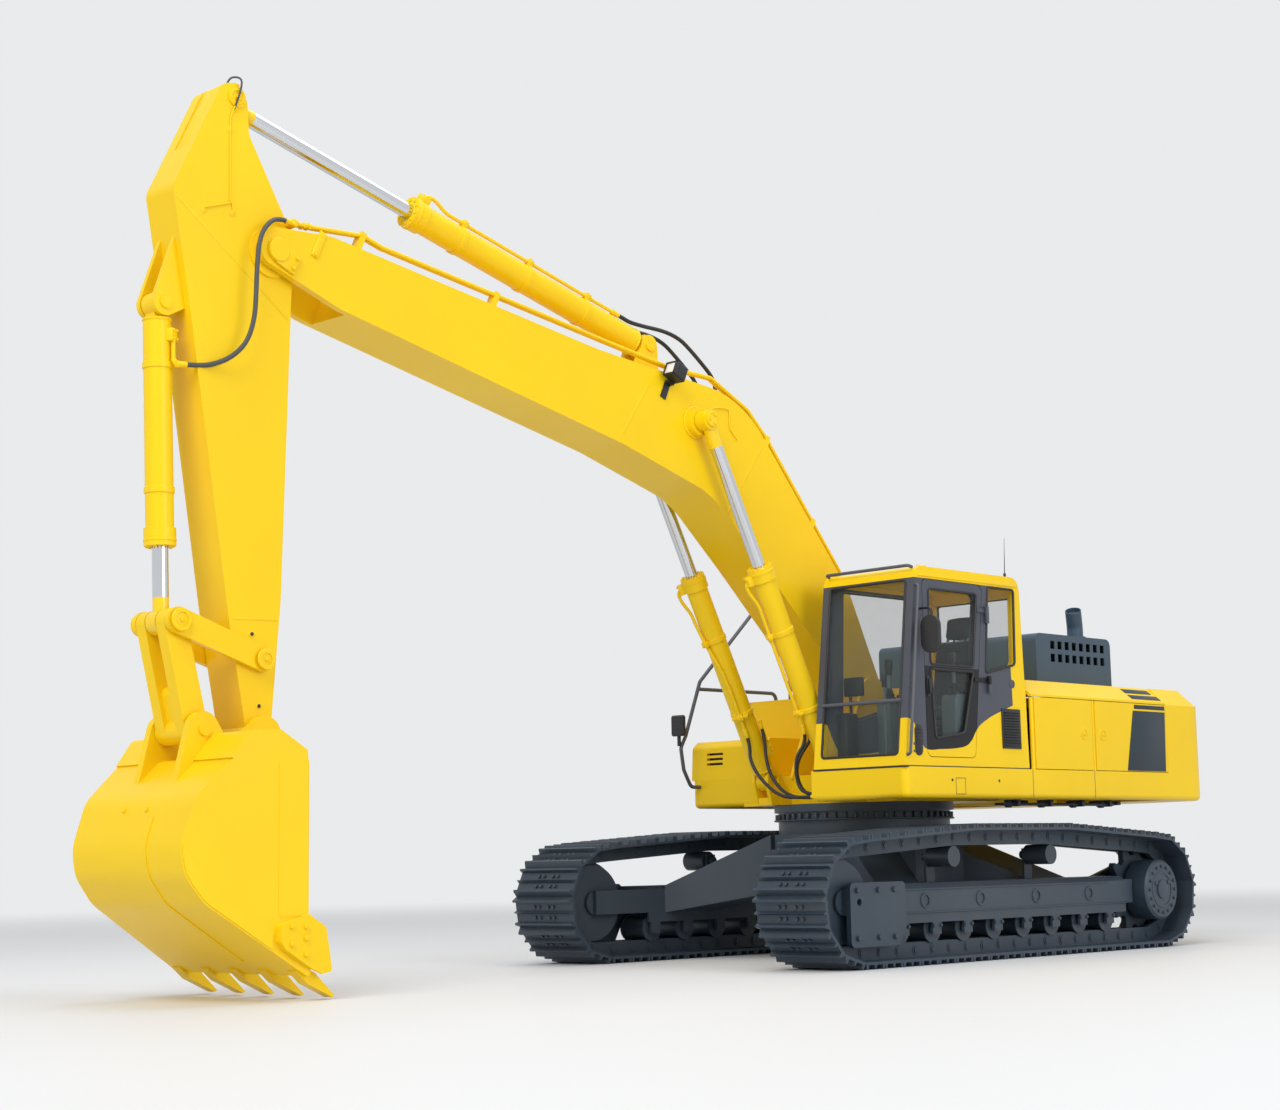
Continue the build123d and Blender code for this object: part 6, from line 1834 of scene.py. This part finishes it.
@dataclass
class Hoses:
    """Every free hose of the machine."""

    big: float = 0.034
    small: float = 0.030
    lead: float = 0.120

    def build(self) -> None:
        """Builds the hoses at the boom foot, the boom's crown and the boom's tip."""
        self._boom_foot()
        self._crown()
        self._tip()

    def _boom_foot(self) -> None:
        """Builds four black hoses from the deck's inner front corner to the boom cylinders' pipes."""
        left, right = (RAM_FITTINGS[name].pipe_ends() for name in ("boom_left", "boom_right"))
        starts = {
            "left_a": [(1.20, 0.500, 1.385), (1.20, 0.40, 1.38), (1.19, 0.25, 1.44), (1.22, 0.25, 1.70)],
            "left_b": [(1.14, 0.500, 1.375), (1.14, 0.38, 1.37), (1.12, 0.22, 1.43), (1.13, 0.17, 1.66)],
            "right_a": [
                (1.25, 0.500, 1.365), (1.25, 0.36, 1.36), (1.24, 0.10, 1.37), (1.22, -0.14, 1.53),
                (1.23, -0.25, 1.70)],
            "right_b": [
                (1.08, 0.500, 1.365), (1.09, 0.36, 1.36), (1.12, 0.10, 1.37), (1.12, -0.08, 1.51),
                (1.12, -0.16, 1.68)],
        }
        for (name, start), end in zip(starts.items(), (*left, *right)):
            route = [*start, end - BOOM_RAM_LEFT.along * self.lead, end]
            body = "boom_cylinder_left" if name.startswith("left") else "boom_cylinder_right"
            Hose(f"boom_hose_{name}", route, self.small, Finish.RUBBER, "upper", body).build()

    def _crown(self) -> None:
        """Builds two hoses from the boom's crown to the arm cylinder's base."""
        ends = RAM_FITTINGS["arm"].pipe_ends()
        for name, y, end in (("a", 0.10, ends[0]), ("b", -0.10, ends[1])):
            foot = BOOM.at(2.66, 1.53, y)
            lift = BOOM.at(2.64, 1.66, y)
            route = [foot, lift, Vector((2.17, y, 5.06)), Vector((2.42, 0.9 * y + 0.1 * end.y, 5.22))]
            route += [end - ARM_RAM.along * 0.22, end - ARM_RAM.along * 0.1, end]
            Hose(f"crown_hose_{name}", route, self.big, Finish.RUBBER, "boom", "arm_cylinder").build()

    def _tip(self) -> None:
        """Builds the sleeved hose that loops past the arm's pivot to the bucket cylinder."""
        route = [
            BOOM.at(BOOM_LENGTH - 0.025, 0.262, 0.228), BOOM.at(BOOM_LENGTH + 0.06, 0.235, 0.232),
            (6.68, 0.262, 5.33), (6.785, 0.288, 5.20), (6.815, 0.295, 5.00), (6.822, 0.295, 4.78),
            (6.832, 0.292, 4.60), (6.88, 0.275, 4.43), (6.98, 0.235, 4.315), (7.10, 0.185, 4.255),
            (7.21, 0.155, 4.238), (7.335, 0.142, 4.232)]
        Hose("tip_hose", route, self.big, Finish.GREY_HOSE, "boom", "arm").build()
        elbow = [(7.362, 0.104, 4.27), (7.352, 0.116, 4.238), (7.335, 0.138, 4.232), (7.31, 0.147, 4.232)]
        pipes("tip_hose_elbow", [elbow], 0.019, Finish.YELLOW, "bucket_cylinder")


# Studio


@dataclass
class Studio:
    """Floor, soft lamps, pale surroundings and the camera."""

    eye: Point = (15.7347, 12.6187, 0.8701)
    yaw: float = 224.275
    pitch: float = 7.752
    roll: float = 1.1386
    focal_px: float = 2236.53
    image_width: float = 1280.0
    sensor: float = 36.0
    view_reach: float = 400.0
    floor_half: float = 90.0
    floor_tone: Color = (0.72, 0.72, 0.72)
    floor_roughness: float = 0.6
    fade_from: float = 9.0
    fade_to: float = 34.0
    backdrop: Color = (0.82, 0.83, 0.84)
    sky: Color = (0.92, 0.95, 1.0)
    sky_strength: float = 0.52
    aim: Point = (2.5, 0.0, 2.0)

    def build(self) -> None:
        """Builds the whole studio."""
        bpy.context.scene.view_settings.view_transform = "Standard"
        self._floor()
        self._world()
        self._lamps()
        self._camera()

    def _floor(self) -> None:
        """Builds the pale floor, which fades into the backdrop with distance."""
        part = bmesh.new()
        bmesh.ops.create_grid(part, x_segments=1, y_segments=1, size=self.floor_half)
        data = bpy.data.meshes.new("floor")
        part.to_mesh(data)
        part.free()
        made = bpy.data.materials.new("floor_pale")
        made.use_nodes = True
        tree = made.node_tree
        shader = tree.nodes["Principled BSDF"]
        shader.inputs["Base Color"].default_value = (*self.floor_tone, 1.0)
        shader.inputs["Roughness"].default_value = self.floor_roughness
        far = tree.nodes.new("ShaderNodeEmission")
        far.inputs["Color"].default_value = (*self.backdrop, 1.0)
        place = tree.nodes.new("ShaderNodeTexCoord")
        reach = tree.nodes.new("ShaderNodeVectorMath")
        reach.operation = "LENGTH"
        tree.links.new(place.outputs["Object"], reach.inputs[0])
        fade = tree.nodes.new("ShaderNodeMapRange")
        fade.interpolation_type = "SMOOTHSTEP"
        fade.inputs["From Min"].default_value = self.fade_from
        fade.inputs["From Max"].default_value = self.fade_to
        tree.links.new(reach.outputs["Value"], fade.inputs["Value"])
        share = tree.nodes.new("ShaderNodeMath")
        share.operation = "MULTIPLY"
        tree.links.new(fade.outputs["Result"], share.inputs[0])
        tree.links.new(self._seen(tree), share.inputs[1])
        pick = tree.nodes.new("ShaderNodeMixShader")
        tree.links.new(share.outputs["Value"], pick.inputs["Fac"])
        tree.links.new(shader.outputs["BSDF"], pick.inputs[1])
        tree.links.new(far.outputs["Emission"], pick.inputs[2])
        tree.links.new(pick.outputs["Shader"], tree.nodes["Material Output"].inputs["Surface"])
        data.materials.append(made)
        floor = bpy.data.objects.new("floor", data)
        bpy.context.scene.collection.objects.link(floor)

    @staticmethod
    def _seen(tree: Tree) -> Socket:
        """Returns a mask of the rays that look: from the camera, off gloss and through glass.

        Args:
            tree: Node tree to add to.

        Returns:
            The mask socket.
        """
        path = tree.nodes.new("ShaderNodeLightPath")
        share = path.outputs["Is Camera Ray"]
        for kind in ("Is Glossy Ray", "Is Transmission Ray"):
            either = tree.nodes.new("ShaderNodeMath")
            either.operation = "MAXIMUM"
            tree.links.new(share, either.inputs[0])
            tree.links.new(path.outputs[kind], either.inputs[1])
            share = either.outputs["Value"]
        return share

    def _world(self) -> None:
        """Sets the pale surroundings."""
        world = bpy.data.worlds.new("studio")
        bpy.context.scene.world = world
        world.use_nodes = True
        tree = world.node_tree
        back = tree.nodes["Background"]
        back.inputs["Color"].default_value = (*self.sky, 1.0)
        back.inputs["Strength"].default_value = self.sky_strength
        seen = tree.nodes.new("ShaderNodeBackground")
        seen.inputs["Color"].default_value = (*self.backdrop, 1.0)
        seen.inputs["Strength"].default_value = 1.0
        pick = tree.nodes.new("ShaderNodeMixShader")
        tree.links.new(self._seen(tree), pick.inputs["Fac"])
        tree.links.new(back.outputs["Background"], pick.inputs[1])
        tree.links.new(seen.outputs["Background"], pick.inputs[2])
        tree.links.new(pick.outputs["Shader"], tree.nodes["World Output"].inputs["Surface"])

    def _lamps(self) -> None:
        """Builds a large key lamp, a fill and a top lamp."""
        for name, place, size, power in (
            ("key", (26.0, 9.0, 22.0), 17.0, 5200.0),
            ("fill", (2.0, 24.0, 10.0), 13.0, 1850.0),
            ("top", (0.0, 0.0, 18.0), 14.0, 1150.0),
        ):
            lamp = bpy.data.lights.new(name, "AREA")
            lamp.energy = power
            lamp.size = size
            thing = bpy.data.objects.new(name, lamp)
            thing.location = place
            thing.rotation_euler = (Vector(self.aim) - Vector(place)).to_track_quat("-Z", "Y").to_euler()
            bpy.context.scene.collection.objects.link(thing)

    def _camera(self) -> None:
        """Builds the camera at the photograph's place and angle."""
        yaw, pitch, roll = (math.radians(value) for value in (self.yaw, self.pitch, self.roll))
        ahead = Vector((math.cos(yaw) * math.cos(pitch), math.sin(yaw) * math.cos(pitch), math.sin(pitch)))
        right = ahead.cross(UP).normalized()
        down = ahead.cross(right)
        level = right * math.cos(roll) + down * math.sin(roll)
        plumb = down * math.cos(roll) - right * math.sin(roll)
        data = bpy.data.cameras.new("camera")
        data.sensor_fit = "HORIZONTAL"
        data.sensor_width = self.sensor
        data.lens = self.focal_px / self.image_width * self.sensor
        data.clip_end = self.view_reach
        camera = bpy.data.objects.new("camera", data)
        camera.matrix_world = Matrix.Translation(self.eye) @ turned_axes(level, -plumb, -ahead)
        bpy.context.scene.collection.objects.link(camera)
        bpy.context.scene.camera = camera


# Carried-over nodes


FINISH_OF_SLOT: dict[str, Finish] = {
    "yellow_paint": Finish.YELLOW,
    "dark_paint": Finish.DARK,
    "cab_grey": Finish.CAB,
    "track_steel": Finish.TRACK,
    "engine_iron": Finish.IRON,
    "window": Finish.GLASS,
    "seat_cloth": Finish.CLOTH,
    "trim_plastic": Finish.TRIM,
    "lamp_plastic": Finish.BLACK,
}
FINISH_OF_NODE: dict[str, Finish] = {
    "engine_hood": Finish.HOOD,
    "exhaust_pipe": Finish.HOOD,
    "cab_door": Finish.DOOR,
    "cab_left_wall": Finish.TWO_TONE,
    "cab_right_wall": Finish.TWO_TONE,
    "cab_front_frame": Finish.TWO_TONE,
    "cab_rear_wall": Finish.YELLOW,
    "cab_roof": Finish.YELLOW,
    "cab_floor": Finish.YELLOW,
    "handrails": Finish.CAB,
}


def dress_nodes(frame: dict) -> None:
    """Gives every carried-over node its finish.

    Args:
        frame: The loaded frame.
    """
    slots = {item["node"]: item["material_slot"] for item in frame["record"]["subparts"]}
    rods = {ram.rod_body: ram.chrome() for ram in RAMS}
    for name, thing in frame["nodes"].items():
        coating = rods.get(name) or FINISH_OF_NODE.get(name, FINISH_OF_SLOT.get(slots[name])).value
        thing.data.materials.clear()
        thing.data.materials.append(coating.material())


def main() -> None:
    """Builds the dressed excavator and its studio."""
    logging.basicConfig(level=logging.INFO, format="%(name)s: %(message)s")
    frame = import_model()
    dress_nodes(frame)
    machine = (Undercarriage(), UpperBody(), Cab(), Seat(), *RAM_FITTINGS.values(), FrontWork(), Hoses())
    for assembly in (*machine, Studio()):
        assembly.build()
        LOG.info("%s built", type(assembly).__name__)


if __name__ == "__main__":
    main()
